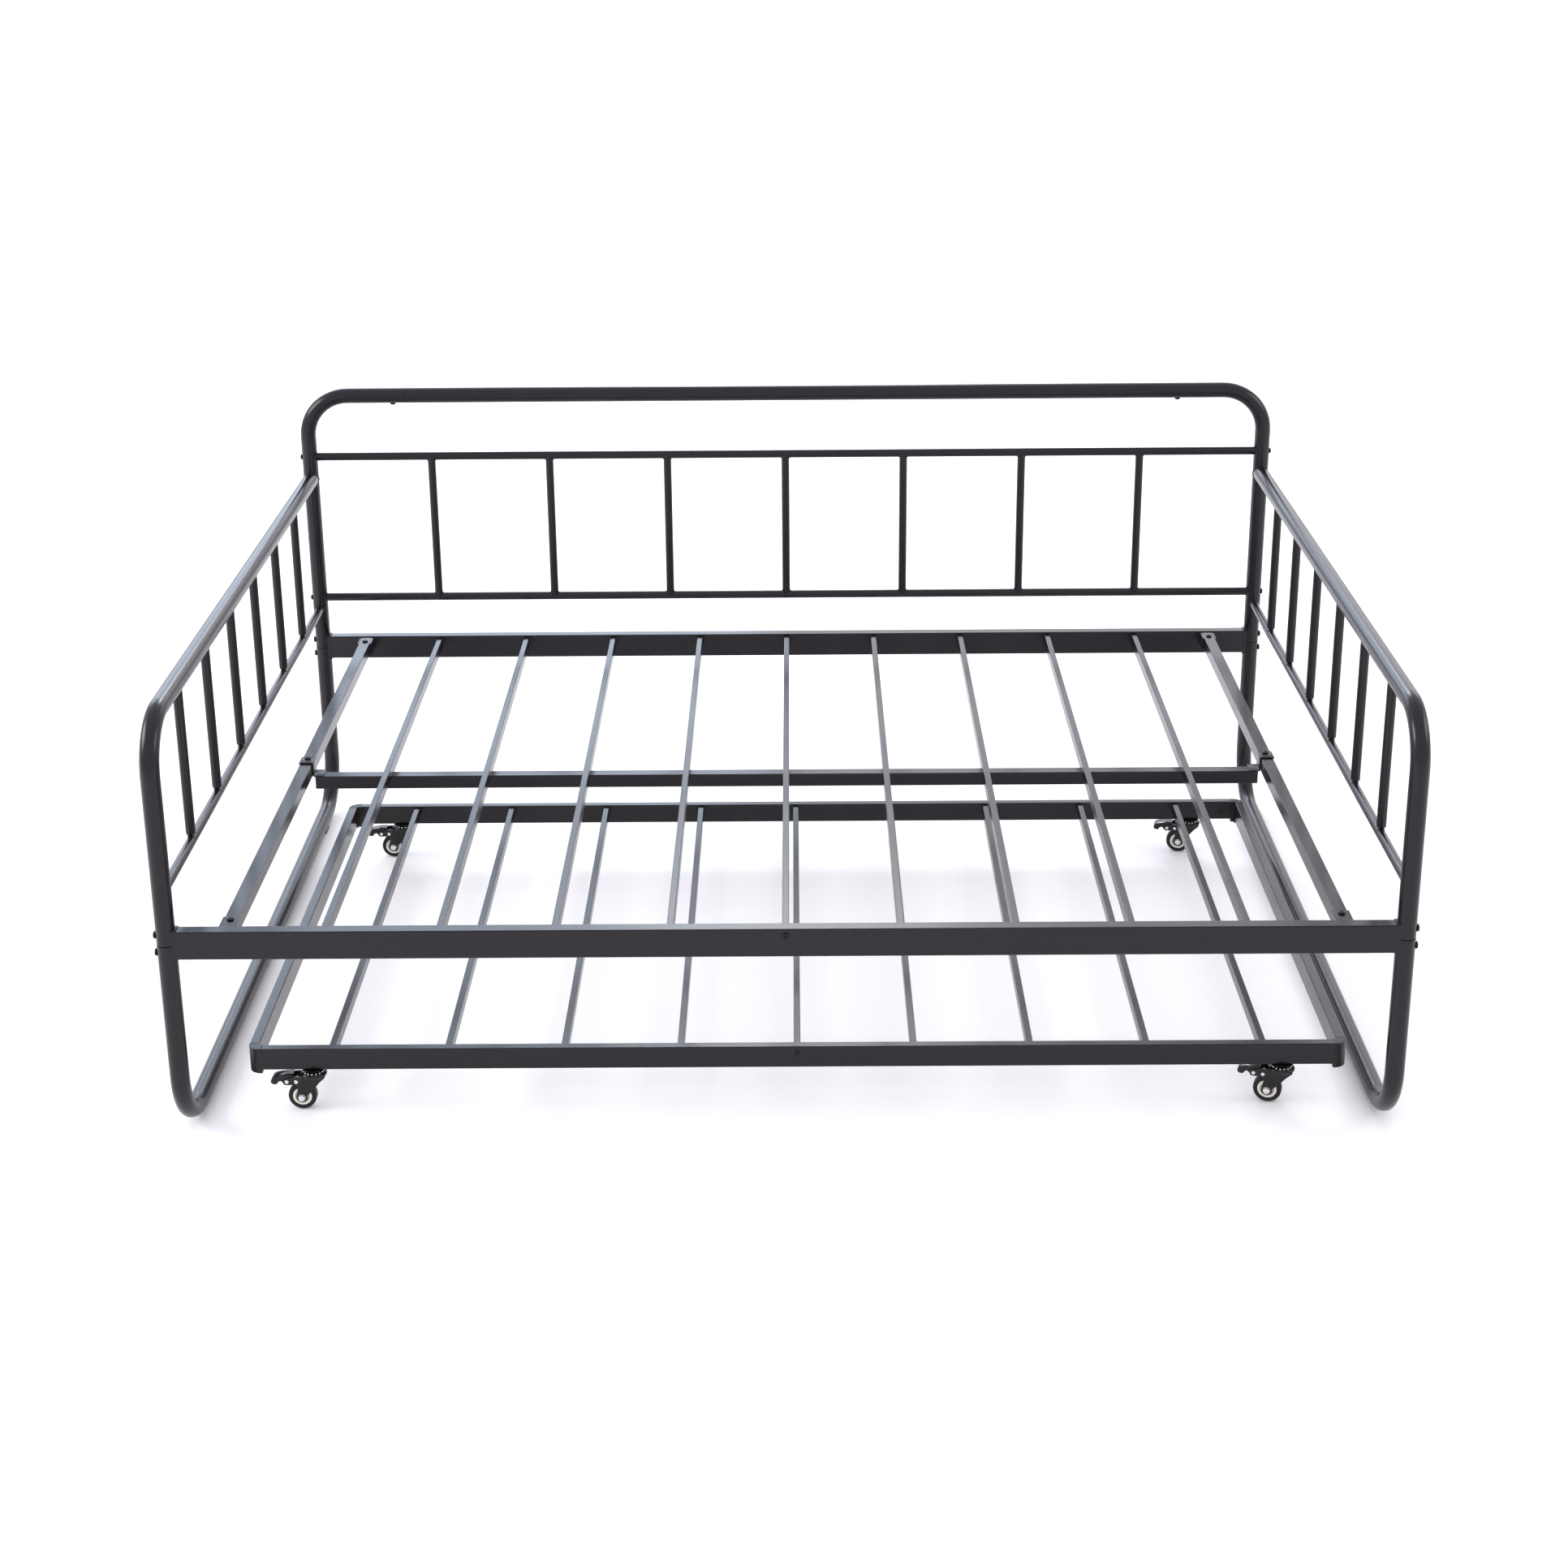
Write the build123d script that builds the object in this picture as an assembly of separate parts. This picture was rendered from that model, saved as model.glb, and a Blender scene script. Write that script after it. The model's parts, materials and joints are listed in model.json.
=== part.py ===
from build123d import *
import os
from math import cos, radians, sin

# A tubular steel daybed with a roll-out trundle frame, in millimetres.
# Origin: on the floor, at the middle of the daybed's footprint.
# +X is the right arm, +Y the back rest, +Z up.

# ----- driving dimensions: daybed frame -----
POST_X = 975.0              # post axes stand at +-POST_X
POST_Y = 689.5              # and at +-POST_Y
TUBE_R = 15.5               # main tube, outer radius
TUBE_WALL = 1.5
THIN_R = 8.25               # thin rails, outer radius
SPINDLE_R = 8.1
THIN_WALL = 1.2
CLEAR = 0.05                # relief where one tube is coped to another

RUNNER_Z = 20.0             # axis of the floor runner
FLOOR_BEND = 100.0
SEAM_Z = 357.7              # joint between legs and upper posts
SEAM_GAP = 2.0
ARM_Z = 723.5
ARM_BEND = 85.0
ARM_LOWER_Z = 443.0
ARM_SPINDLES = 6
TOP_Z = 898.0
TOP_BEND = 85.0
TOP_SEAM_X = 773.0
TOP_SCREW_X = 798.0
BACK_UPPER_Z = 770.0
BACK_LOWER_Z = 466.5
BACK_SPINDLES = 7

RAIL_TOP = 382.0            # deck rails, rectangular tube on edge
RAIL_H = 48.0
RAIL_T = 23.3
RAIL_OUT = 701.5            # outer face of a deck rail, from the middle
RAIL_IN = RAIL_OUT - RAIL_T
RAIL_END = 957.0
RAIL_WALL = 1.5
RAIL_ROUND = 2.2
SADDLE_UP = 2.0             # how far a rail end saddle stands above the rail
SADDLE_DOWN = 3.0           # and below it
BOLT_Z = (373.0, 343.0)
BOLT_R = 4.0
BOLT_HOLE_R = 4.2

SLATS = 9
SLAT_PITCH = 182.0
SLAT_W = 11.0
SLAT_H = 22.0
SLAT_TOP = 377.0
SLAT_WALL = 1.0

END_BAR_X = 880.5
END_BAR_W = 22.0
END_BAR_H = 25.0
END_BAR_TOP = 380.0
END_BAR_SPLIT = -2.0        # where the front and rear halves meet
END_SCREW_Y = 652.0
HANGER_Y = 2.0
HANGER_SCREW_Y = 8.0
SHEET = 2.5                 # pressed brackets

BEAM_TOP = 354.6
BEAM_H = 24.6
BEAM_D = 23.0
BEAM_END = 864.0

GLIDE_Y = 540.0
GLIDE_L = 36.0
GLIDE_W_REAR = 22.0
GLIDE_W_FRONT = 15.0
GLIDE_H = 11.0

SCREW_R = 3.0               # M6 screws of the panels, brackets and rails
SCREW_HOLE_R = 3.2
SCREW_HEAD_R = 5.6

# ----- driving dimensions: trundle frame -----
TRUNDLE_X = 17.0            # it stands a little to the right of the middle
TRUNDLE_W = 1813.0
TRUNDLE_FRONT = -588.0
TRUNDLE_D = 1011.0
TRUNDLE_TOP = 111.4
TRAIL_H = 38.0              # its rails, rectangular tube on edge
TRAIL_T = 16.6
CORNER = 23.0               # length of a corner piece along each rail
CORNER_ROUND = 20.0
CORNER_LIP = 6.0            # how far it reaches below the rails
TSLAT_PITCH = 192.2
TSLAT_H = 20.0
TSLAT_TOP = 108.0
TSCREW_R = 2.5              # M5 screw in the front rail's middle
TSCREW_HOLE_R = 2.7
TSCREW_DOWN = 12.0          # below the rail's top
RIVET_IN = 44.5             # rear rail rivets, in from the trundle's ends
RIVET_DOWN = 21.4           # and below the rail's top
RIVET_R = 2.4
RIVET_HEAD_R = 4.8
RIVET_HEAD_H = 0.9

# ----- driving dimensions: casters -----
CASTER_IN_X = 106.0         # swivel axis in from the trundle's end
CASTER_IN_Y = TRAIL_T / 2   # and in from its front or rear face
TRAIL = 20.5                # wheel axle behind the swivel axis
WHEEL_R = 23.5
WHEEL_W = 17.0
HUB_R = 16.0
PLATE_Z = 71.0              # underside of the mounting plate
CROWN_TOP = 67.2
CROWN_R = 21.8
FORK_IN = 10.2              # inner face of a fork cheek, from the wheel's middle
CHEEK = 2.0
PIVOT = (-28.2, 52.7)       # pedal pin, ahead of the axle, from the swivel axis
REST_PIN = (-43.7, 52.7)
CASTER_TURN = {             # degrees about its swivel axis, as each one stands
    "front_left": 0.0,
    "front_right": -18.0,
    "rear_left": 0.0,
    "rear_right": -10.0,
}

RAIL_BOTTOM = RAIL_TOP - RAIL_H
TRAIL_BOTTOM = TRUNDLE_TOP - TRAIL_H
TRUNDLE_BACK = TRUNDLE_FRONT + TRUNDLE_D
TRUNDLE_LEFT = TRUNDLE_X - TRUNDLE_W / 2
TRUNDLE_RIGHT = TRUNDLE_X + TRUNDLE_W / 2


# ----- helpers -----
def save(name, *shapes):
    """Write one node: a single solid, or a group of separate solids."""
    solids = [solid for shape in shapes for solid in shape.solids()]
    export_step(Compound(solids), f"parts/{name}.step")


def rod(start, end, radius):
    """A solid round bar between two points."""
    axis = Vector(*end) - Vector(*start)
    return Solid.make_cylinder(radius, axis.length, Plane(origin=start, z_dir=axis))


def tube(start, end, radius, wall):
    """A straight round tube between two points."""
    return rod(start, end, radius) - rod(start, end, radius - wall)


def bent_tube(points, bend, radius, wall):
    """A round tube along straight runs joined by bends."""
    path = FilletPolyline(*points, radius=bend)
    ring = Circle(radius) - Circle(radius - wall)
    section = Plane(origin=path @ 0, z_dir=path % 0) * ring
    return sweep(section, path)


def block(low, high):
    """A box between its lowest and highest corners."""
    size = [b - a for a, b in zip(low, high)]
    middle = [(a + b) / 2 for a, b in zip(low, high)]
    return Pos(*middle) * Box(*size)


def box_tube(low, high, axis, wall, rounding=1.2):
    """A rectangular tube with rounded edges, open at both ends of one axis."""
    outer = block(low, high)
    outer = fillet(outer.edges().filter_by(axis), rounding)
    cut_low = list(low)
    cut_high = list(high)
    for i in range(3):
        along = (axis.direction.X, axis.direction.Y, axis.direction.Z)[i]
        shift = -1.0 if abs(along) > 0.5 else wall
        cut_low[i] += shift
        cut_high[i] -= shift
    return outer - block(cut_low, cut_high)


def both_sides(shape):
    """A left piece and its mirror image on the right."""
    return [shape, shape.mirror(Plane.YZ)]


def spread(count, pitch):
    """Evenly pitched places about zero."""
    return [(i - (count - 1) / 2) * pitch for i in range(count)]


def even_pitch(clear, count, width):
    """Pitch of bars that leave equal gaps in a clear span."""
    return (clear - count * width) / (count + 1) + width


def button_screw(head_r, head_h, shank_r, length, socket_r):
    """A screw along +Z from under its head at z = 0, which domes below."""
    head = Pos(0, 0, -head_h / 2) * Cylinder(head_r, head_h)
    head = fillet(head.edges().sort_by(Axis.Z)[0], head_h * 0.62)
    socket = Pos(0, 0, -head_h) * extrude(RegularPolygon(socket_r, 6), head_h * 0.55)
    return head - socket + rod((0, 0, 0), (0, 0, length), shank_r)


def place_screw(screw, point, direction):
    """Put a screw so that its shank runs from a point in a direction."""
    return Plane(origin=point, z_dir=direction).location * screw


# ----- side frames -----
def post_rod(x, y, radius=TUBE_R + CLEAR):
    """The space that one post fills, for coping what meets it."""
    return rod((x, y, 60), (x, y, TOP_Z), radius)


def bolt_hole(y, z):
    """A cross hole through the left post for a rail bolt."""
    return rod((-POST_X - 2 * TUBE_R, y, z), (-POST_X + 2 * TUBE_R, y, z), BOLT_HOLE_R)


def leg_runner():
    """Left sled leg: front leg, floor runner and rear leg in one bent tube."""
    top = SEAM_Z - SEAM_GAP / 2
    points = [
        (-POST_X, -POST_Y, top),
        (-POST_X, -POST_Y, RUNNER_Z),
        (-POST_X, POST_Y, RUNNER_Z),
        (-POST_X, POST_Y, top),
    ]
    leg = bent_tube(points, FLOOR_BEND, TUBE_R, TUBE_WALL)
    return leg - bolt_hole(-POST_Y, BOLT_Z[1]) - bolt_hole(POST_Y, BOLT_Z[1])


def arm_tube():
    """Left front post and arm rail in one bent tube, coped to the back post."""
    points = [
        (-POST_X, -POST_Y, SEAM_Z + SEAM_GAP / 2),
        (-POST_X, -POST_Y, ARM_Z),
        (-POST_X, POST_Y - 1, ARM_Z),
    ]
    arm = bent_tube(points, ARM_BEND, TUBE_R, TUBE_WALL)
    return arm - post_rod(-POST_X, POST_Y) - bolt_hole(-POST_Y, BOLT_Z[0])


def arm_lower_rail():
    """Thin rail between the left front and back posts."""
    rail = tube((-POST_X, -POST_Y, ARM_LOWER_Z), (-POST_X, POST_Y, ARM_LOWER_Z), THIN_R, THIN_WALL)
    return rail - post_rod(-POST_X, -POST_Y) - post_rod(-POST_X, POST_Y)


def arm_spindle(y):
    """One arm spindle: coped under the arm, drawn in to a neck at its foot."""
    foot = ARM_LOWER_Z + THIN_R
    neck_r = 5.6
    outline = Polyline(
        (0, foot - 4),
        (neck_r, foot - 4),
        (neck_r, foot + 1),
        (SPINDLE_R, foot + 6),
        (SPINDLE_R, ARM_Z - 6),
        (0, ARM_Z - 6),
        close=True,
    )
    bar = revolve(make_face(Plane.XZ * outline), Axis.Z)
    bore = rod((0, 0, foot + 8), (0, 0, ARM_Z), SPINDLE_R - THIN_WALL)
    spindle = Pos(-POST_X, y, 0) * (bar - bore)
    arm = rod((-POST_X, y - 30, ARM_Z), (-POST_X, y + 30, ARM_Z), TUBE_R + CLEAR)
    lower = rod((-POST_X, y - 30, ARM_LOWER_Z), (-POST_X, y + 30, ARM_LOWER_Z), THIN_R + CLEAR)
    return spindle - arm - lower


def arm_spindles():
    """All spindles of the left arm, with equal gaps between the posts."""
    pitch = even_pitch(2 * (POST_Y - TUBE_R), ARM_SPINDLES, 2 * SPINDLE_R)
    return [arm_spindle(y) for y in spread(ARM_SPINDLES, pitch)]


def back_post():
    """Left back post, bent over at the top into the start of the top rail."""
    points = [
        (-POST_X, POST_Y, SEAM_Z + SEAM_GAP / 2),
        (-POST_X, POST_Y, TOP_Z),
        (-TOP_SEAM_X - 0.4, POST_Y, TOP_Z),
    ]
    post = bent_tube(points, TOP_BEND, TUBE_R, TUBE_WALL) - bolt_hole(POST_Y, BOLT_Z[0])
    for z in (BACK_UPPER_Z, BACK_LOWER_Z):
        post -= rod((-POST_X - 20, POST_Y, z), (-POST_X + 20, POST_Y, z), SCREW_HOLE_R)
    under = (-TOP_SCREW_X, POST_Y, TOP_Z)
    return post - rod((-TOP_SCREW_X, POST_Y, TOP_Z - 20), under, SCREW_HOLE_R)


def tube_sleeves():
    """Inner sleeves that join the legs to the posts and the top rail to its corners."""
    sleeve_r = TUBE_R - TUBE_WALL - 0.2
    sleeves = []
    for y in (-POST_Y, POST_Y):
        upright = tube((-POST_X, y, SEAM_Z - 45), (-POST_X, y, SEAM_Z + 45), sleeve_r, TUBE_WALL)
        for z in BOLT_Z:
            upright -= bolt_hole(y, z)
        sleeves += both_sides(upright)
    start = (-TOP_SEAM_X - 45, POST_Y, TOP_Z)
    level = tube(start, (-TOP_SEAM_X + 45, POST_Y, TOP_Z), sleeve_r, TUBE_WALL)
    level -= rod((-TOP_SCREW_X, POST_Y, TOP_Z - 20), (-TOP_SCREW_X, POST_Y, TOP_Z), SCREW_HOLE_R)
    return sleeves + both_sides(level)


# ----- back rest -----
def back_rail(z):
    """Thin rail between the back posts, with plugged and threaded ends."""
    rail = rod((-POST_X, POST_Y, z), (POST_X, POST_Y, z), THIN_R)
    rail -= rod((-POST_X + 40, POST_Y, z), (POST_X - 40, POST_Y, z), THIN_R - THIN_WALL)
    for side in (-1, 1):
        rail -= post_rod(side * POST_X, POST_Y)
        rail -= rod((side * POST_X, POST_Y, z), (side * (POST_X - 42), POST_Y, z), SCREW_R)
    return rail


def back_spindles():
    """Upright bars between the two thin back rails."""
    pitch = even_pitch(2 * (POST_X - TUBE_R), BACK_SPINDLES, 2 * SPINDLE_R)
    cope = rod((-POST_X, POST_Y, BACK_LOWER_Z), (POST_X, POST_Y, BACK_LOWER_Z), THIN_R + CLEAR)
    cope_top = Pos(0, 0, BACK_UPPER_Z - BACK_LOWER_Z) * cope
    bars = []
    for x in spread(BACK_SPINDLES, pitch):
        bar = tube((x, POST_Y, BACK_LOWER_Z), (x, POST_Y, BACK_UPPER_Z), SPINDLE_R, THIN_WALL)
        bars.append(bar - cope - cope_top)
    return bars


def back_panel_screws():
    """Screws through the back posts into the ends of the thin rails."""
    screw = button_screw(SCREW_HEAD_R, 3.2, SCREW_R, 62.0, 2.3)
    left = []
    for z in (BACK_UPPER_Z, BACK_LOWER_Z):
        left.append(place_screw(screw, (-POST_X - TUBE_R - 0.1, POST_Y, z), (1, 0, 0)))
    return [piece for one in left for piece in both_sides(one)]


def top_rail_screws():
    """Screws up through the back corners into the top rail's sleeves."""
    screw = button_screw(SCREW_HEAD_R, 3.0, SCREW_R, 16.0, 2.3)
    left = place_screw(screw, (-TOP_SCREW_X, POST_Y, TOP_Z - TUBE_R - 0.1), (0, 0, 1))
    return both_sides(left)


# ----- deck -----
def deck_rail():
    """Front deck rail, a rectangular tube with a screw hole in its outer face."""
    low = (-RAIL_END, -RAIL_OUT, RAIL_BOTTOM)
    high = (RAIL_END, -RAIL_IN, RAIL_TOP)
    rail = box_tube(low, high, Axis.X, RAIL_WALL, RAIL_ROUND)
    centre_z = RAIL_TOP - 12.0
    return rail - rod((0, -RAIL_OUT - 1, centre_z), (0, -RAIL_OUT + 5, centre_z), SCREW_HOLE_R)


def rail_end_saddle():
    """Left front end piece: tongue in the rail, saddle against the post."""
    low = (-POST_X, -RAIL_OUT, RAIL_BOTTOM - SADDLE_DOWN)
    saddle = block(low, (-RAIL_END - 0.1, -RAIL_IN, RAIL_TOP + SADDLE_UP))
    saddle = fillet(saddle.edges().filter_by(Axis.X), RAIL_ROUND)
    inset = RAIL_WALL + 0.3
    tongue_low = (-RAIL_END - 5, -RAIL_OUT + inset, RAIL_BOTTOM + inset)
    saddle += block(tongue_low, (-RAIL_END + 40, -RAIL_IN - inset, RAIL_TOP - inset))
    saddle -= post_rod(-POST_X, -POST_Y)
    for z in BOLT_Z:
        saddle -= rod((-POST_X, -POST_Y, z), (-RAIL_END + 34, -POST_Y, z), BOLT_R)
    return saddle


def rail_bolts():
    """Bolts through the posts into the rail ends, two at each post."""
    bolt = button_screw(6.3, 3.8, BOLT_R, 64.0, 2.9)
    bolts = []
    for y in (-POST_Y, POST_Y):
        for z in BOLT_Z:
            left = place_screw(bolt, (-POST_X - TUBE_R - 0.1, y, z), (1, 0, 0))
            bolts += both_sides(left)
    return bolts


def rail_centre_screws():
    """One screw in the outer face of each deck rail."""
    screw = button_screw(SCREW_HEAD_R, 2.6, SCREW_R, 12.0, 2.3)
    front = place_screw(screw, (0, -RAIL_OUT - 0.1, RAIL_TOP - 12.0), (0, 1, 0))
    return [front, front.mirror(Plane.XZ)]


def deck_slats():
    """Slats on edge between the inner faces of the deck rails."""
    slats = []
    for x in spread(SLATS, SLAT_PITCH):
        low = (x - SLAT_W / 2, -RAIL_IN, SLAT_TOP - SLAT_H)
        high = (x + SLAT_W / 2, RAIL_IN, SLAT_TOP)
        slats.append(box_tube(low, high, Axis.Y, SLAT_WALL))
    return slats


def end_bars():
    """Left end bar: a front half, and a rear half whose tongue slides into it."""
    x_low = -END_BAR_X - END_BAR_W / 2
    x_high = -END_BAR_X + END_BAR_W / 2
    z_low = END_BAR_TOP - END_BAR_H
    reach = RAIL_IN - 0.3
    front = box_tube((x_low, -reach, z_low), (x_high, END_BAR_SPLIT, END_BAR_TOP), Axis.Y, 1.2)
    rear_low = (x_low, END_BAR_SPLIT + 0.3, z_low)
    rear = box_tube(rear_low, (x_high, reach, END_BAR_TOP), Axis.Y, 1.2)
    inset = 1.5
    tongue_low = (x_low + inset, END_BAR_SPLIT - 45, z_low + inset)
    tongue_high = (x_high - inset, END_BAR_SPLIT + 45, END_BAR_TOP - inset)
    tongue = box_tube(tongue_low, tongue_high, Axis.Y, 1.2)
    holes = [rod((-END_BAR_X, y, z_low - 5), (-END_BAR_X, y, END_BAR_TOP + 5), SCREW_HOLE_R)
             for y in (-END_SCREW_Y, HANGER_SCREW_Y, END_SCREW_Y)]
    return [piece - holes for piece in (front, rear, tongue)]


def end_bar_bracket():
    """Left front U bracket, welded to the rail's inner face under an end bar."""
    half = END_BAR_W / 2 + 0.3
    low = (-END_BAR_X - half - SHEET, -RAIL_IN, END_BAR_TOP - END_BAR_H - SHEET - 0.2)
    high = (-END_BAR_X + half + SHEET, -RAIL_IN + 38.0, END_BAR_TOP - 0.4)
    bracket = block(low, high)
    bracket = fillet(bracket.edges().filter_by(Axis.Y).group_by(Axis.Z)[0], SHEET)
    channel_low = (-END_BAR_X - half, -RAIL_IN - 1, END_BAR_TOP - END_BAR_H - 0.2)
    bracket -= block(channel_low, (-END_BAR_X + half, -RAIL_IN + 40, END_BAR_TOP))
    hole_top = (-END_BAR_X, -END_SCREW_Y, END_BAR_TOP)
    return bracket - rod((-END_BAR_X, -END_SCREW_Y, low[2] - 1), hole_top, SCREW_R)


def end_bar_screws():
    """Screws down through the end bars: at both ends and at each hanger."""
    screw = button_screw(SCREW_HEAD_R + 0.2, 3.2, SCREW_R, 30.0, 2.4)
    screws = []
    for y, top in ((-END_SCREW_Y, END_BAR_TOP), (HANGER_SCREW_Y, END_BAR_TOP + SHEET),
                   (END_SCREW_Y, END_BAR_TOP)):
        screws += both_sides(place_screw(screw, (-END_BAR_X, y, top + 0.1), (0, 0, -1)))
    return screws


def beam_hanger():
    """Left Z hanger: flange on the end bar, leg down its side, lip on the beam."""
    side = -END_BAR_X + END_BAR_W / 2 + 0.3
    low_y = HANGER_Y - 15.0
    high_y = HANGER_Y + 15.0
    top = END_BAR_TOP + SHEET
    hanger = block((side - 24.0, low_y, END_BAR_TOP), (side + SHEET, high_y, top))
    hanger += block((side, low_y, BEAM_TOP), (side + SHEET, high_y, top))
    hanger += block((side, low_y, BEAM_TOP), (side + 19.0, high_y, BEAM_TOP + SHEET))
    hole_top = (-END_BAR_X, HANGER_SCREW_Y, top + 1)
    hole = rod((-END_BAR_X, HANGER_SCREW_Y, END_BAR_TOP - 1), hole_top, SCREW_HOLE_R)
    return hanger - hole


def middle_beam():
    """Cross beam under the slats, hung from the end bars."""
    low = (-BEAM_END, -BEAM_D / 2, BEAM_TOP - BEAM_H)
    return box_tube(low, (BEAM_END, BEAM_D / 2, BEAM_TOP), Axis.X, 1.2, 1.5)


def runner_glide(y, width):
    """Floor glide stuck under the left runner."""
    low = (-POST_X - width / 2, y - GLIDE_L / 2, 0)
    glide = block(low, (-POST_X + width / 2, y + GLIDE_L / 2, GLIDE_H))
    glide = fillet(glide.edges().filter_by(Axis.Z), 4.0)
    return glide - rod((-POST_X, y - 30, RUNNER_Z), (-POST_X, y + 30, RUNNER_Z), TUBE_R)


# ----- trundle frame -----
def trundle_long_rail(y):
    """A rail along X whose front face is at y, between two corner pieces."""
    low = (TRUNDLE_LEFT + CORNER + 0.1, y, TRAIL_BOTTOM)
    high = (TRUNDLE_RIGHT - CORNER - 0.1, y + TRAIL_T, TRUNDLE_TOP)
    rail = box_tube(low, high, Axis.X, 1.2, 1.8)
    middle = y + TRAIL_T / 2
    for x in (TRUNDLE_LEFT + CASTER_IN_X, TRUNDLE_RIGHT - CASTER_IN_X):
        rail -= rod((x, middle, TRAIL_BOTTOM - 1), (x, middle, TRAIL_BOTTOM + 4), 5.0)
    return rail


def trundle_front_rail():
    """Front rail, with the hole for its centre screw."""
    z = TRUNDLE_TOP - TSCREW_DOWN
    hole = rod((TRUNDLE_X, TRUNDLE_FRONT - 1, z), (TRUNDLE_X, TRUNDLE_FRONT + 4, z), TSCREW_HOLE_R)
    return trundle_long_rail(TRUNDLE_FRONT) - hole


def rivet_spots():
    """Middles of the rivets in the rear rail's inner face, one near each corner."""
    face_y = TRUNDLE_BACK - TRAIL_T
    z = TRUNDLE_TOP - RIVET_DOWN
    return [(x, face_y, z) for x in (TRUNDLE_LEFT + RIVET_IN, TRUNDLE_RIGHT - RIVET_IN)]


def trundle_rear_rail():
    """Rear rail, with a rivet hole near each corner."""
    rail = trundle_long_rail(TRUNDLE_BACK - TRAIL_T)
    for x, y, z in rivet_spots():
        rail -= rod((x, y - 1, z), (x, y + 4, z), RIVET_R)
    return rail


def trundle_end_rail(x):
    """A rail along Y whose left face is at x, between two corner pieces."""
    low = (x, TRUNDLE_FRONT + CORNER + 0.1, TRAIL_BOTTOM)
    high = (x + TRAIL_T, TRUNDLE_BACK - CORNER - 0.1, TRUNDLE_TOP)
    return box_tube(low, high, Axis.Y, 1.2, 1.8)


def trundle_corner():
    """Front left corner piece: rounded shell, lower lip and two hidden tongues."""
    corner_x = TRUNDLE_LEFT
    corner_y = TRUNDLE_FRONT
    low_z = TRAIL_BOTTOM - CORNER_LIP
    piece = block((corner_x, corner_y, low_z), (corner_x + CORNER, corner_y + CORNER, TRUNDLE_TOP))
    outer = piece.edges().filter_by(Axis.Z).sort_by(SortBy.DISTANCE)[-1]
    piece = fillet(outer, CORNER_ROUND)
    piece = fillet(piece.faces().sort_by(Axis.Z)[-1].edges(), 1.5)
    inner = (corner_x + TRAIL_T, corner_y + TRAIL_T, low_z - 1)
    piece -= block(inner, (corner_x + CORNER + 1, corner_y + CORNER + 1, TRUNDLE_TOP + 1))
    inset = 1.5
    tongue_x = (corner_x + CORNER - 6, corner_y + inset, TRAIL_BOTTOM + inset)
    tongue_x_high = (corner_x + CORNER + 32, corner_y + TRAIL_T - inset, TRUNDLE_TOP - inset)
    tongue_y = (corner_x + inset, corner_y + CORNER - 6, TRAIL_BOTTOM + inset)
    tongue_y_high = (corner_x + TRAIL_T - inset, corner_y + CORNER + 32, TRUNDLE_TOP - inset)
    rivet_start = (corner_x + RIVET_IN, corner_y + TRAIL_T + 1, TRUNDLE_TOP - RIVET_DOWN)
    rivet_end = (corner_x + RIVET_IN, corner_y + TRAIL_T - 10, TRUNDLE_TOP - RIVET_DOWN)
    tongues = block(tongue_x, tongue_x_high) + block(tongue_y, tongue_y_high)
    return piece + (tongues - rod(rivet_start, rivet_end, RIVET_R + CLEAR))


def trundle_corners():
    """The four corner pieces, mirrored about the trundle's middle."""
    across = Plane(origin=(TRUNDLE_X, 0, 0), z_dir=(1, 0, 0))
    along = Plane(origin=(0, (TRUNDLE_FRONT + TRUNDLE_BACK) / 2, 0), z_dir=(0, 1, 0))
    first = trundle_corner()
    pair = [first, first.mirror(across)]
    return pair + [piece.mirror(along) for piece in pair]


def trundle_slats():
    """Slats on edge between the trundle's front and rear rails."""
    slats = []
    for offset in spread(SLATS, TSLAT_PITCH):
        x = TRUNDLE_X + offset
        low = (x - SLAT_W / 2, TRUNDLE_FRONT + TRAIL_T, TSLAT_TOP - TSLAT_H)
        high = (x + SLAT_W / 2, TRUNDLE_BACK - TRAIL_T, TSLAT_TOP)
        slats.append(box_tube(low, high, Axis.Y, SLAT_WALL))
    return slats


def trundle_screws():
    """The front rail's centre screw, and the rivets of the rear rail."""
    screw = button_screw(4.8, 2.2, TSCREW_R, 10.0, 2.0)
    front = place_screw(screw, (TRUNDLE_X, TRUNDLE_FRONT - 0.1, TRUNDLE_TOP - TSCREW_DOWN), (0, 1, 0))
    pieces = [front]
    for x, y, z in rivet_spots():
        rivet = rod((x, y - RIVET_HEAD_H, z), (x, y, z), RIVET_HEAD_R)
        rivet = fillet(rivet.edges().sort_by(Axis.Y)[0], RIVET_HEAD_H * 0.8)
        pieces.append(rivet + rod((x, y - 0.5, z), (x, y + 8, z), RIVET_R))
    return pieces


# ----- casters: built on their swivel axis, at the height they stand -----
def stem_plate():
    """Mounting plate with the stem into the rail and the king pin below."""
    plate = Pos(0, 0, (PLATE_Z + TRAIL_BOTTOM) / 2) * Cylinder(20.0, TRAIL_BOTTOM - PLATE_Z - 0.1)
    plate += rod((0, 0, CROWN_TOP - 7.5), (0, 0, TRAIL_BOTTOM + 16), 5.0)
    return plate + rod((0, 0, CROWN_TOP - 9.5), (0, 0, CROWN_TOP - 6.5), 7.5)


def swivel_balls():
    """Open ring of bearing balls between the plate and the crown."""
    ball_r = 1.75
    count = 16
    middle = (PLATE_Z + CROWN_TOP) / 2
    ring = []
    for i in range(count):
        angle = radians(i * 360 / count)
        ring.append(Pos(16.5 * cos(angle), 16.5 * sin(angle), middle) * Sphere(ball_r))
    return ring


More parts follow.
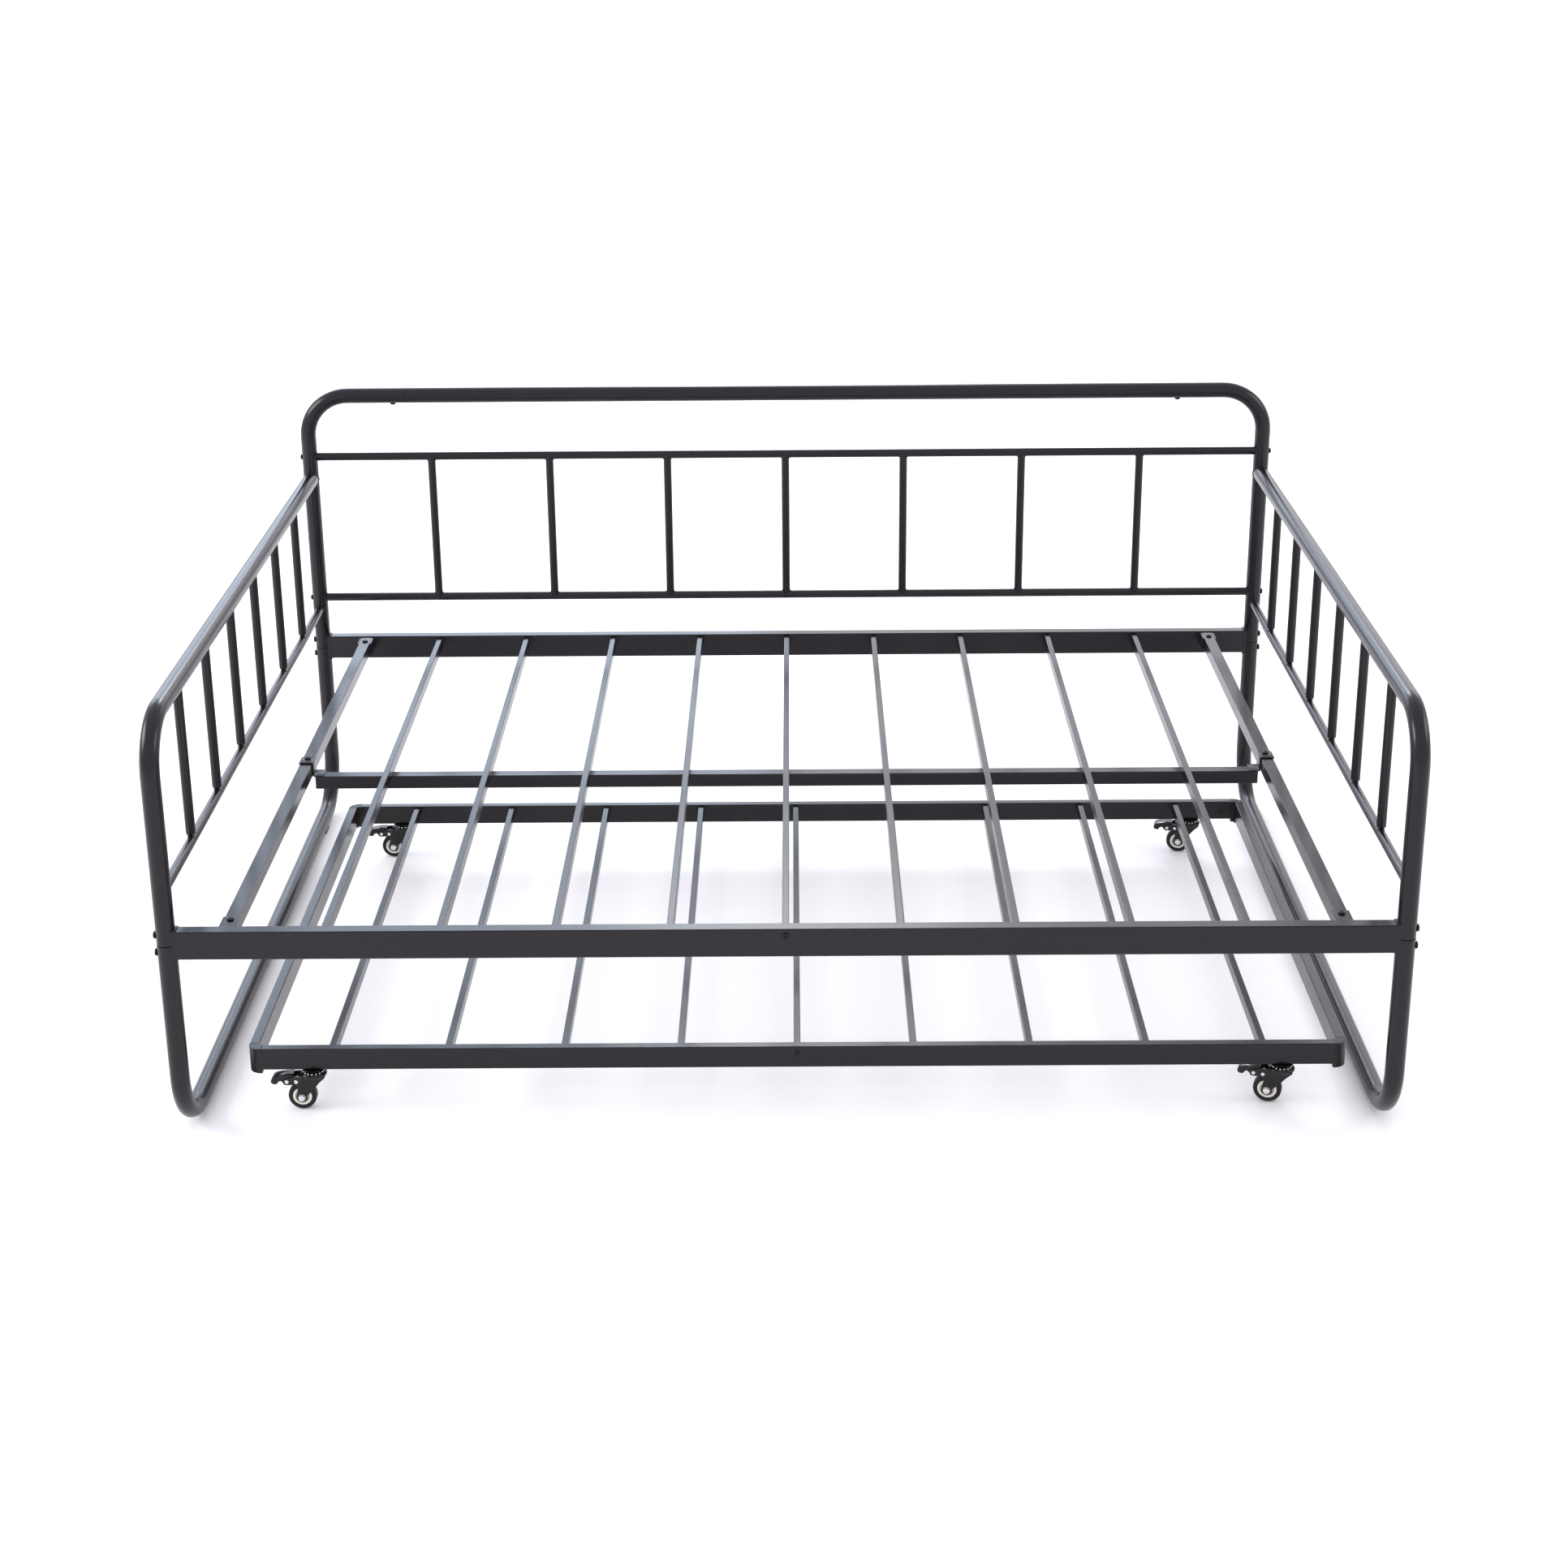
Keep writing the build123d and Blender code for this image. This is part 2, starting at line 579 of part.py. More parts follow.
def cheek_outline():
    """Side view of a fork cheek: wide at the crown, boss at the axle, pedal ear ahead."""
    boss_r = 8.7
    axle = (-TRAIL, WHEEL_R)
    web = Polyline(
        (20.5, 61.5),
        (17.0, 58.5),
        (9.0, 51.0),
        (2.0, 41.0),
        (axle[0] + 8.3, axle[1] + 3.0),
        (axle[0] - 8.4, axle[1] + 3.0),
        (-25.5, 44.0),
        (-31.0, 48.6),
        (-50.0, 46.5),
        (-51.0, 58.0),
        (-31.0, 61.5),
        close=True,
    )
    return make_face(web) + Pos(*axle) * Circle(boss_r)


def fork():
    """Pressed fork: crown over the wheel, two cheeks and the pedal ears."""
    profile = Polyline(
        (5.6, CROWN_TOP),
        (19.5, CROWN_TOP),
        (CROWN_R, CROWN_TOP - 2.2),
        (CROWN_R, CROWN_TOP - 5.0),
        (17.0, 58.5),
        (10.5, 55.8),
        (10.5, 57.5),
        (5.6, 57.5),
        close=True,
    )
    crown = revolve(make_face(Plane.XZ * profile), Axis.Z)
    crown -= rod((0, 0, 50), (0, 0, CROWN_TOP - 6.0), 8.2)
    crown &= block((-30, -30, 58.4), (30, 30, CROWN_TOP + 1))
    face = Plane.XZ * cheek_outline()
    near = Pos(0, -FORK_IN, 0) * extrude(face, CHEEK)
    far = Pos(0, FORK_IN + CHEEK, 0) * extrude(face, CHEEK)
    body = crown + near + far
    body -= rod((-TRAIL, -20, WHEEL_R), (-TRAIL, 20, WHEEL_R), 3.0)
    for x, z in (PIVOT, REST_PIN):
        body -= rod((x, -20, z), (x, 20, z), 2.0)
    return body


def caster_pins():
    """Axle bolt, its nut, and the two rivets that hold the pedal ears."""
    outer = FORK_IN + CHEEK
    axle = rod((-TRAIL, -outer - 4.6, WHEEL_R), (-TRAIL, outer + 0.1, WHEEL_R), 3.0)
    head = Pos(-TRAIL, outer + 0.1, WHEEL_R) * Rot(-90, 0, 0) * Cylinder(
        5.8, 3.6, align=(Align.CENTER, Align.CENTER, Align.MIN))
    axle += fillet(head.edges().sort_by(Axis.Y)[-1], 1.6)
    nut_face = Plane(origin=(-TRAIL, -outer - 0.1, WHEEL_R), z_dir=(0, -1, 0))
    nut = extrude(nut_face * RegularPolygon(6.6, 6), 4.2) - axle
    pins = [axle, nut]
    for x, z in (PIVOT, REST_PIN):
        pin = rod((x, -outer - 0.1, z), (x, outer + 0.1, z), 2.0)
        for side in (-1, 1):
            cap = Pos(x, side * (outer + 0.8), z) * Rot(90, 0, 0) * Cylinder(3.3, 1.4)
            pin += cap
        pins.append(pin)
    return pins


def brake_pedal():
    """Foot pedal: ribbed tread, turned-down toe and the lever on its pin."""
    width = 2 * FORK_IN - 1.2
    tread = Polyline(
        (-34.0, 63.6),
        (-66.0, 61.4),
        (-69.6, 58.6),
        (-70.4, 52.0),
        (-68.6, 47.6),
        (-66.2, 47.8),
        (-66.6, 54.0),
        (-63.0, 57.6),
        (-52.5, 57.2),
        (-49.5, 54.5),
        (-48.2, 50.0),
        (-47.0, 47.2),
        (-40.0, 48.4),
        (-24.2, 50.4),
        (-23.4, 54.6),
        (-27.0, 57.0),
        (-33.0, 57.2),
        close=True,
    )
    body = Pos(0, width / 2, 0) * extrude(Plane.XZ * make_face(tread), width)
    body -= rod((PIVOT[0], -20, PIVOT[1]), (PIVOT[0], 20, PIVOT[1]), 2.3)
    slot_low = (REST_PIN[0] - 2.9, -20, REST_PIN[1] - 2.4)
    body -= block(slot_low, (REST_PIN[0] + 2.9, 20, REST_PIN[1] + 7.6))
    for i in range(4):
        x = -37.0 - 3.6 * i
        body -= block((x - 0.8, -width / 2 + 1.5, 62.4), (x + 0.8, width / 2 - 1.5, 66.0))
    return body


def wheel_hub():
    """Moulded hub with a raised rim ring and a bore for the axle."""
    half = WHEEL_W / 2
    profile = Polyline(
        (3.3, -half - 0.6),
        (6.5, -half - 0.6),
        (7.0, -4.0),
        (10.6, -4.0),
        (11.2, -half + 0.2),
        (15.2, -half + 0.2),
        (HUB_R, -half + 1.2),
        (HUB_R, half - 1.2),
        (15.2, half - 0.2),
        (11.2, half - 0.2),
        (10.6, 4.0),
        (7.0, 4.0),
        (6.5, half + 0.6),
        (3.3, half + 0.6),
        close=True,
    )
    hub = revolve(make_face(Plane.XZ * profile), Axis.Z)
    return Pos(-TRAIL, 0, WHEEL_R) * Rot(90, 0, 0) * hub


def wheel_tyre():
    """Tyre moulded round the hub, with rounded shoulders."""
    ring = Cylinder(WHEEL_R, WHEEL_W) - Cylinder(HUB_R + 0.05, WHEEL_W + 2)
    rim = [e for e in ring.edges().filter_by(GeomType.CIRCLE) if e.radius > WHEEL_R - 0.1]
    ring = fillet(rim, 3.4)
    return Pos(-TRAIL, 0, WHEEL_R) * Rot(90, 0, 0) * ring


def caster_spots():
    """Name, swivel axis and turn of each caster."""
    left = TRUNDLE_LEFT + CASTER_IN_X
    right = TRUNDLE_RIGHT - CASTER_IN_X
    front = TRUNDLE_FRONT + CASTER_IN_Y
    rear = TRUNDLE_BACK - CASTER_IN_Y
    spots = {
        "front_left": (left, front),
        "front_right": (right, front),
        "rear_left": (left, rear),
        "rear_right": (right, rear),
    }
    return [(name, x, y, CASTER_TURN[name]) for name, (x, y) in spots.items()]


def save_casters():
    """Write the nodes of the four casters."""
    plates = []
    balls = []
    for name, x, y, turn in caster_spots():
        stand = Pos(x, y, 0) * Rot(0, 0, turn)
        plates.append(Pos(x, y, 0) * stem_plate())
        balls += [Pos(x, y, 0) * ball for ball in swivel_balls()]
        save(f"{name}_fork", stand * fork())
        save(f"{name}_axle_and_rivets", *[stand * pin for pin in caster_pins()])
        save(f"{name}_brake_pedal", stand * brake_pedal())
        save(f"{name}_hub", stand * wheel_hub())
        save(f"{name}_tyre", stand * wheel_tyre())
    save("caster_mount_plates", *plates)
    save("swivel_balls", *balls)


def save_pair(name, shapes):
    """Write a left node and the right node that mirrors it."""
    save(f"left_{name}", *shapes)
    save(f"right_{name}", *[shape.mirror(Plane.YZ) for shape in shapes])


def save_frame():
    """Write the nodes of the daybed frame."""
    save_pair("leg_runner", [leg_runner()])
    save_pair("arm_tube", [arm_tube()])
    save_pair("arm_lower_rail", [arm_lower_rail()])
    save_pair("arm_spindles", arm_spindles())
    save_pair("back_post", [back_post()])
    save_pair("end_bars", end_bars())
    top = tube((-TOP_SEAM_X + 0.6, POST_Y, TOP_Z), (TOP_SEAM_X - 0.6, POST_Y, TOP_Z), TUBE_R, TUBE_WALL)
    save("back_top_rail", top)
    save("back_upper_rail", back_rail(BACK_UPPER_Z))
    save("back_lower_rail", back_rail(BACK_LOWER_Z))
    save("back_spindles", *back_spindles())
    save("tube_sleeves", *tube_sleeves())
    front = deck_rail()
    save("front_deck_rail", front)
    save("rear_deck_rail", front.mirror(Plane.XZ))
    saddles = both_sides(rail_end_saddle())
    save("rail_end_saddles", *saddles, *[saddle.mirror(Plane.XZ) for saddle in saddles])
    brackets = both_sides(end_bar_bracket())
    save("end_bar_brackets", *brackets, *[bracket.mirror(Plane.XZ) for bracket in brackets])
    save("middle_beam", middle_beam())
    save("beam_hangers", *both_sides(beam_hanger()))
    save("deck_slats", *deck_slats())
    save("rail_bolts", *rail_bolts())
    save("rail_centre_screws", *rail_centre_screws())
    save("back_panel_screws", *back_panel_screws())
    save("top_rail_screws", *top_rail_screws())
    save("end_bar_screws", *end_bar_screws())
    rear_glides = both_sides(runner_glide(GLIDE_Y, GLIDE_W_REAR))
    front_glides = both_sides(runner_glide(-GLIDE_Y, GLIDE_W_FRONT))
    save("runner_glides", *rear_glides, *front_glides)


def save_trundle():
    """Write the nodes of the trundle frame."""
    save("trundle_front_rail", trundle_front_rail())
    save("trundle_rear_rail", trundle_rear_rail())
    save("trundle_left_rail", trundle_end_rail(TRUNDLE_LEFT))
    save("trundle_right_rail", trundle_end_rail(TRUNDLE_RIGHT - TRAIL_T))
    save("trundle_corners", *trundle_corners())
    save("trundle_slats", *trundle_slats())
    save("trundle_screws", *trundle_screws())


os.makedirs("parts", exist_ok=True)
save_frame()
save_trundle()
save_casters()
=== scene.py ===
"""Looks of a tubular steel daybed with a roll-out trundle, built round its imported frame.

Every sub-assembly is a class that dresses its frame nodes and models the small
pieces that only show: weld beads, washers, springs, treads and caps. Metres, +Z up.
"""

import json
import logging
import math
from dataclasses import dataclass
from enum import Enum
from typing import Iterable

import bmesh
import bpy
from mathutils import Matrix, Vector

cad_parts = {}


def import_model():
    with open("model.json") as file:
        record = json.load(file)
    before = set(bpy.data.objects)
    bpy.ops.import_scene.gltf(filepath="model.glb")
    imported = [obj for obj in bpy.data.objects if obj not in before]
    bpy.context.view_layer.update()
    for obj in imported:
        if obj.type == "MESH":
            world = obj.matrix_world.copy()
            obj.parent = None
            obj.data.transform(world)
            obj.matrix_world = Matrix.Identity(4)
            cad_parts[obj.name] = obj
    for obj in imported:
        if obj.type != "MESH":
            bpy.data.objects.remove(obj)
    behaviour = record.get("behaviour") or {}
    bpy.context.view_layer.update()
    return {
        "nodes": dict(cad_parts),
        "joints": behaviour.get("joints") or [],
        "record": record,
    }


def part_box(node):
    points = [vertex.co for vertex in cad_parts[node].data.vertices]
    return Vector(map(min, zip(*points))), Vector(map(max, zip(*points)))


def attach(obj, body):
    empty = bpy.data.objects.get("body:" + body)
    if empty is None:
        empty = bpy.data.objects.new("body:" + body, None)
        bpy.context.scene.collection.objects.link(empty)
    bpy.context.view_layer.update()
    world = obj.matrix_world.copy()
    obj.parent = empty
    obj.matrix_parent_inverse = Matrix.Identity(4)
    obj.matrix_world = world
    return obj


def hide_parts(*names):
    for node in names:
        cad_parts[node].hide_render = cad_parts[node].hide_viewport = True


LOG = logging.getLogger("daybed")
MM = 0.001                      # sizes of small pieces are in millimetres
BODY_FRAME = "daybed_frame"
BODY_TRUNDLE = "trundle"
SIDES = ("left", "right")
CORNERS = ("front_left", "front_right", "rear_left", "rear_right")
MERGE = 0.0005                  # points closer than this are one point
LEVEL = 1e-6                    # an edge that rises less than this lies level
EDGE_WEAR_AND_HIGHLIGHT_SAMPLES = 4                # rays of the edge mask: scuffed edges and painted edge highlight
EDGE_WEAR_AND_HIGHLIGHT_CONTRAST = 2.2             # how sharply patches break up the scuffed and painted-highlight edges
EDGE_WEAR_AND_HIGHLIGHT_FLOOR = 0.6                # patches below this share get neither scuffing nor painted highlight
DUST_COLOUR = (0.42, 0.41, 0.40)
DUST_DULLING = 0.5              # roughness that full dust adds
COAT_ROUGHNESS = 0.12
TINT_RANGE = (0.35, 0.65)       # patches that go from one tint to the other
GLOSS_RANGE = (0.3, 0.7)        # patches that go from smooth to rough
CORNER_STEPS = 5                # facets of a rounded outline corner
WIRE_SIDES = 8                  # facets round a wire or a weld bead
BEAD_STEPS = 40                 # steps of a weld bead round its joint
BEAD_RIPPLE = 0.16              # swell of a bead's ripples
COIL_STEPS = 20                 # steps in one turn of a coil

Tree = bpy.types.NodeTree
Socket = bpy.types.NodeSocket
Shape = bmesh.types.BMesh
Point = tuple[float, float]
Triple = tuple[float, float, float]


class Slot(Enum):
    """Material slots of the record."""

    ENAMEL = "frame_enamel"
    PLASTIC = "black_plastic"
    SCREW = "black_screw"
    CASTER = "caster_steel"
    ZINC = "zinc"
    NYLON = "cream_nylon"
    TYRE = "black_tyre"


# ------------ shader groups
def new_group(name: str, inputs: dict[str, float], outputs: tuple[str, ...]) -> Tree:
    """Make an empty shader group with float sockets.

    Args:
        name: Name of the group.
        inputs: Input names with their default values.
        outputs: Output names.

    Returns:
        The node tree, with its Group Input and Group Output nodes in place.
    """
    tree = bpy.data.node_groups.new(name, "ShaderNodeTree")
    for label, value in inputs.items():
        socket = tree.interface.new_socket(label, in_out="INPUT", socket_type="NodeSocketFloat")
        socket.default_value = value
    for label in outputs:
        tree.interface.new_socket(label, in_out="OUTPUT", socket_type="NodeSocketFloat")
    tree.nodes.new("NodeGroupInput").name = "in"
    tree.nodes.new("NodeGroupOutput").name = "out"
    return tree


def maths(tree: Tree, operation: str, first: Socket | float,
          second: Socket | float | None = None) -> Socket:
    """Add a Math node.

    Args:
        tree: Tree to add it to.
        operation: The node's operation.
        first: First value, a socket or a number.
        second: Second value, a socket or a number.

    Returns:
        Its output socket.
    """
    node = tree.nodes.new("ShaderNodeMath")
    node.operation = operation
    for index, value in enumerate((first, second)):
        if isinstance(value, Socket):
            tree.links.new(value, node.inputs[index])
        elif value is not None:
            node.inputs[index].default_value = value
    return node.outputs[0]


def noise(tree: Tree, scale: Socket | float, detail: float, rough: float = 0.5) -> Socket:
    """Add a Noise Texture on object coordinates.

    Args:
        tree: Tree to add it to.
        scale: Its scale, a socket or a number.
        detail: Its detail.
        rough: Its roughness.

    Returns:
        Its Fac output.
    """
    coords = tree.nodes.new("ShaderNodeTexCoord")
    node = tree.nodes.new("ShaderNodeTexNoise")
    tree.links.new(coords.outputs["Object"], node.inputs["Vector"])
    if isinstance(scale, Socket):
        tree.links.new(scale, node.inputs["Scale"])
    else:
        node.inputs["Scale"].default_value = scale
    node.inputs["Detail"].default_value = detail
    node.inputs["Roughness"].default_value = rough
    return node.outputs["Fac"]


def edge_wear_and_highlight_group() -> Tree:
    """Build the edge mask group: a mask that rises where a surface turns sharply, lightening edges partly as
    scuffing and partly as a painted highlight.

    Returns:
        The group.
    """
    tree = new_group("edge_wear_and_highlight", {"Radius": 0.0015, "Gain": 4.0, "Patch Scale": 60.0}, ("Mask",))
    source = tree.nodes["in"].outputs
    bevel = tree.nodes.new("ShaderNodeBevel")
    bevel.samples = EDGE_WEAR_AND_HIGHLIGHT_SAMPLES
    tree.links.new(source["Radius"], bevel.inputs["Radius"])
    geometry = tree.nodes.new("ShaderNodeNewGeometry")
    dot = tree.nodes.new("ShaderNodeVectorMath")
    dot.operation = "DOT_PRODUCT"
    tree.links.new(bevel.outputs["Normal"], dot.inputs[0])
    tree.links.new(geometry.outputs["Normal"], dot.inputs[1])
    # Edges that turn sharply get a lighter colour: partly scuffing, partly a painted highlight.
    turned = maths(tree, "SUBTRACT", 1.0, dot.outputs["Value"])
    lifted = maths(tree, "MULTIPLY", turned, source["Gain"])
    patches = noise(tree, source["Patch Scale"], 4.0, 0.65)
    contrast = maths(tree, "MULTIPLY", patches, EDGE_WEAR_AND_HIGHLIGHT_CONTRAST)
    worn_and_highlit = maths(tree, "MULTIPLY", lifted, maths(tree, "SUBTRACT", contrast, EDGE_WEAR_AND_HIGHLIGHT_FLOOR))
    clamped = maths(tree, "MINIMUM", maths(tree, "MAXIMUM", worn_and_highlit, 0.0), 1.0)
    tree.links.new(clamped, tree.nodes["out"].inputs["Mask"])
    return tree


def surface_grain_group() -> Tree:
    """Build the grain group: fine height for a bump, and slow patches for colour and gloss.

    Returns:
        The group.
    """
    tree = new_group("surface_grain", {"Fine Scale": 900.0, "Patch Scale": 9.0, "Coarse": 0.35},
                     ("Height", "Patches"))
    source = tree.nodes["in"].outputs
    fine = noise(tree, source["Fine Scale"], 2.0)
    coarse = noise(tree, maths(tree, "MULTIPLY", source["Fine Scale"], 0.27), 1.0)
    height = maths(tree, "ADD", fine, maths(tree, "MULTIPLY", coarse, source["Coarse"]))
    tree.links.new(height, tree.nodes["out"].inputs["Height"])
    tree.links.new(noise(tree, source["Patch Scale"], 5.0, 0.6), tree.nodes["out"].inputs["Patches"])
    return tree


def settled_dust_group() -> Tree:
    """Build the dust group: a mask that is stronger on faces that look up.

    Returns:
        The group.
    """
    tree = new_group("settled_dust", {"Amount": 0.1, "Scale": 40.0}, ("Mask",))
    source = tree.nodes["in"].outputs
    geometry = tree.nodes.new("ShaderNodeNewGeometry")
    parts = tree.nodes.new("ShaderNodeSeparateXYZ")
    tree.links.new(geometry.outputs["Normal"], parts.inputs[0])
    upward = maths(tree, "POWER", maths(tree, "MAXIMUM", parts.outputs["Z"], 0.0), 2.0)
    patches = noise(tree, source["Scale"], 6.0, 0.7)
    mask = maths(tree, "MULTIPLY", maths(tree, "MULTIPLY", upward, patches), source["Amount"])
    tree.links.new(mask, tree.nodes["out"].inputs["Mask"])
    return tree


# ------------ finishes
@dataclass(frozen=True)
class Finish:
    """One surface finish: a Principled surface with grain, lighter edges (scuffing and a painted highlight)
    and dust.

    Attributes:
        slot: The record's slot that it dresses.
        colour: Base colour, linear.
        worn_and_highlit: Lighter colour of sharp edges, partly scuffed paint and partly a painted highlight.
        metallic: 1 for bare metal.
        roughness: Lowest and highest roughness over the slow patches.
        grain_scale: Fine grain, repeats per metre.
        grain_depth: Height of the grain in metres.
        wear_and_highlight_radius: Width of the scuffed and painted-highlight edge in metres.
        wear_and_highlight_gain: Strength of the scuffed and painted-highlight edge.
        dust: Strength of the dust on faces that look up.
        coat: Weight of a clear coat.
        specular: Specular level.
        mottle: How much the slow patches change the colour.
    """

    slot: Slot
    colour: Triple
    worn_and_highlit: Triple
    metallic: float = 0.0
    roughness: Point = (0.3, 0.4)
    grain_scale: float = 900.0
    grain_depth: float = 0.00002
    wear_and_highlight_radius: float = 0.0012
    wear_and_highlight_gain: float = 1.0
    dust: float = 0.0
    coat: float = 0.0
    specular: float = 0.5
    mottle: float = 0.1

    def build(self, groups: dict[str, Tree]) -> bpy.types.Material:
        """Build the material.

        Args:
            groups: The shared shader groups by name.

        Returns:
            The material, named after its slot.
        """
        material = bpy.data.materials.new(f"look_{self.slot.value}")
        material.use_nodes = True
        tree = material.node_tree
        surface = tree.nodes["Principled BSDF"]
        surface.inputs["Metallic"].default_value = self.metallic
        surface.inputs["Coat Weight"].default_value = self.coat
        surface.inputs["Coat Roughness"].default_value = COAT_ROUGHNESS
        surface.inputs["Specular IOR Level"].default_value = self.specular
        grain = self._group(tree, groups["surface_grain"], {"Fine Scale": self.grain_scale})
        wear_and_highlight_node = self._group(tree, groups["edge_wear_and_highlight"], {"Radius": self.wear_and_highlight_radius, "Gain": self.wear_and_highlight_gain})
        dust = self._group(tree, groups["settled_dust"], {"Amount": self.dust})
        patches = grain.outputs["Patches"]
        tint = self._mix(tree, self._stretch(tree, patches, TINT_RANGE), self.colour, self._darker())
        # Sharp edges take the lighter colour: partly scuffed paint, partly a painted highlight.
        rubbed_and_highlit = self._mix(tree, wear_and_highlight_node.outputs["Mask"], tint, self.worn_and_highlit)
        dusted = self._mix(tree, dust.outputs["Mask"], rubbed_and_highlit, DUST_COLOUR)
        tree.links.new(dusted, surface.inputs["Base Color"])
        clean = self._stretch(tree, patches, GLOSS_RANGE, self.roughness)
        dulled = maths(tree, "ADD", clean, maths(tree, "MULTIPLY", dust.outputs["Mask"], DUST_DULLING))
        tree.links.new(dulled, surface.inputs["Roughness"])
        bump = tree.nodes.new("ShaderNodeBump")
        bump.inputs["Strength"].default_value = 1.0
        bump.inputs["Distance"].default_value = self.grain_depth
        tree.links.new(grain.outputs["Height"], bump.inputs["Height"])
        tree.links.new(bump.outputs["Normal"], surface.inputs["Normal"])
        return material

    @staticmethod
    def _group(tree: Tree, group: Tree, values: dict[str, float]) -> bpy.types.Node:
        """Place a shader group.

        Args:
            tree: The material's tree.
            group: The shared group.
            values: This finish's values, by input.

        Returns:
            Its node.
        """
        node = tree.nodes.new("ShaderNodeGroup")
        node.node_tree = group
        for label, value in values.items():
            node.inputs[label].default_value = value
        return node

    @staticmethod
    def _mix(tree: Tree, factor: Socket, first: Socket | Triple, second: Socket | Triple) -> Socket:
        """Mix two colours.

        Args:
            tree: The material's tree.
            factor: Share of the second colour.
            first: First colour.
            second: Second colour.

        Returns:
            The mixed colour.
        """
        node = tree.nodes.new("ShaderNodeMix")
        node.data_type = "RGBA"
        tree.links.new(factor, node.inputs["Factor"])
        for label, value in (("A", first), ("B", second)):
            socket = [s for s in node.inputs if s.name == label and s.type == "RGBA"][0]
            if isinstance(value, Socket):
                tree.links.new(value, socket)
            else:
                socket.default_value = (*value, 1.0)
        return [s for s in node.outputs if s.type == "RGBA"][0]

    @staticmethod
    def _stretch(tree: Tree, patches: Socket, span: Point, reach: Point = (0.0, 1.0)) -> Socket:
        """Stretch the slow patches to another range.

        Args:
            tree: The material's tree.
            patches: The slow patches.
            span: Lowest and highest patch value that count.
            reach: What they become.

        Returns:
            The stretched value.
        """
        node = tree.nodes.new("ShaderNodeMapRange")
        for label, value in zip(("From Min", "From Max", "To Min", "To Max"), (*span, *reach)):
            node.inputs[label].default_value = value
        tree.links.new(patches, node.inputs["Value"])
        return node.outputs["Result"]

    def _darker(self) -> Triple:
        """Return the colour of the darker patches."""
        return tuple(c * (1.0 - self.mottle) for c in self.colour)


FINISHES = (
    Finish(Slot.ENAMEL, (0.0066, 0.0048, 0.0076), (0.030, 0.029, 0.031), roughness=(0.22, 0.27),
           grain_scale=520.0, grain_depth=0.000011, wear_and_highlight_gain=0.8, dust=0.008, specular=0.34),
    Finish(Slot.PLASTIC, (0.0060, 0.0050, 0.0066), (0.030, 0.030, 0.032), roughness=(0.30, 0.40),
           grain_scale=1800.0, grain_depth=0.00002, wear_and_highlight_gain=0.5, dust=0.01, specular=0.34),
    Finish(Slot.SCREW, (0.010, 0.010, 0.011), (0.10, 0.10, 0.10), metallic=0.6, roughness=(0.28, 0.38),
           grain_scale=2500.0, grain_depth=0.00001, wear_and_highlight_radius=0.0004, wear_and_highlight_gain=1.4),
    Finish(Slot.CASTER, (0.0036, 0.0034, 0.0038), (0.06, 0.06, 0.06), roughness=(0.10, 0.18),
           grain_scale=1200.0, grain_depth=0.000006, wear_and_highlight_radius=0.0005, wear_and_highlight_gain=0.9, coat=0.25,
           specular=0.25),
    Finish(Slot.ZINC, (0.74, 0.74, 0.76), (0.86, 0.86, 0.87), metallic=1.0, roughness=(0.18, 0.32),
           grain_scale=2600.0, grain_depth=0.00001, wear_and_highlight_radius=0.0004, wear_and_highlight_gain=1.0, mottle=0.18),
    Finish(Slot.NYLON, (0.80, 0.76, 0.66), (0.84, 0.81, 0.73), roughness=(0.28, 0.38),
           grain_scale=1600.0, grain_depth=0.00001, wear_and_highlight_radius=0.0006, wear_and_highlight_gain=0.6, mottle=0.08),
    Finish(Slot.TYRE, (0.0070, 0.0066, 0.0066), (0.03, 0.03, 0.03), roughness=(0.38, 0.50),
           grain_scale=2200.0, grain_depth=0.00003, wear_and_highlight_radius=0.0010, wear_and_highlight_gain=0.8, dust=0.05,
           specular=0.28),
)


class Wardrobe:
    """All materials of the bed, and the dressing of nodes and pieces with them."""

    def __init__(self, record: dict) -> None:
        """Build the shared groups and one material for each slot.

        Args:
            record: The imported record, whose subparts name each node's slot.
        """
        groups = {
            "edge_wear_and_highlight": edge_wear_and_highlight_group(),
            "surface_grain": surface_grain_group(),
            "settled_dust": settled_dust_group(),
        }
        self.materials = {finish.slot: finish.build(groups) for finish in FINISHES}
        self.node_slots = {part["node"]: Slot(part["material_slot"]) for part in record["subparts"]}

    def dress_node(self, name: str, obj: bpy.types.Object) -> None:
        """Give a frame node the material of its slot.

        Args:
            name: The node's name.
            obj: The node's object.
        """
        material = self.materials[self.node_slots[name]]
        if not obj.material_slots:
            obj.data.materials.append(material)
        for slot in obj.material_slots:
            slot.material = material

    def dress_piece(self, obj: bpy.types.Object, slot: Slot) -> None:
        """Give a new piece the finish of its slot.

        Args:
            obj: The piece.
            slot: Its slot.
        """
        obj.data.materials.clear()
        obj.data.materials.append(self.materials[slot])


# ------------ shapes
def rounded(shape: Shape, edges: Iterable[bmesh.types.BMEdge], radius: float, segments: int,
            clamp: bool = False) -> Shape:
    """Round some edges of a shape.

    Args:
        shape: The shape.
        edges: Its edges to round.
        radius: Rounding.
        segments: Facets of the rounding.
        clamp: Whether roundings stop where they meet.

    Returns:
        The shape.
    """
    bmesh.ops.bevel(shape, geom=list(edges), offset=radius, segments=segments, profile=0.5,
                    affect="EDGES", material=-1, clamp_overlap=clamp)
    return shape


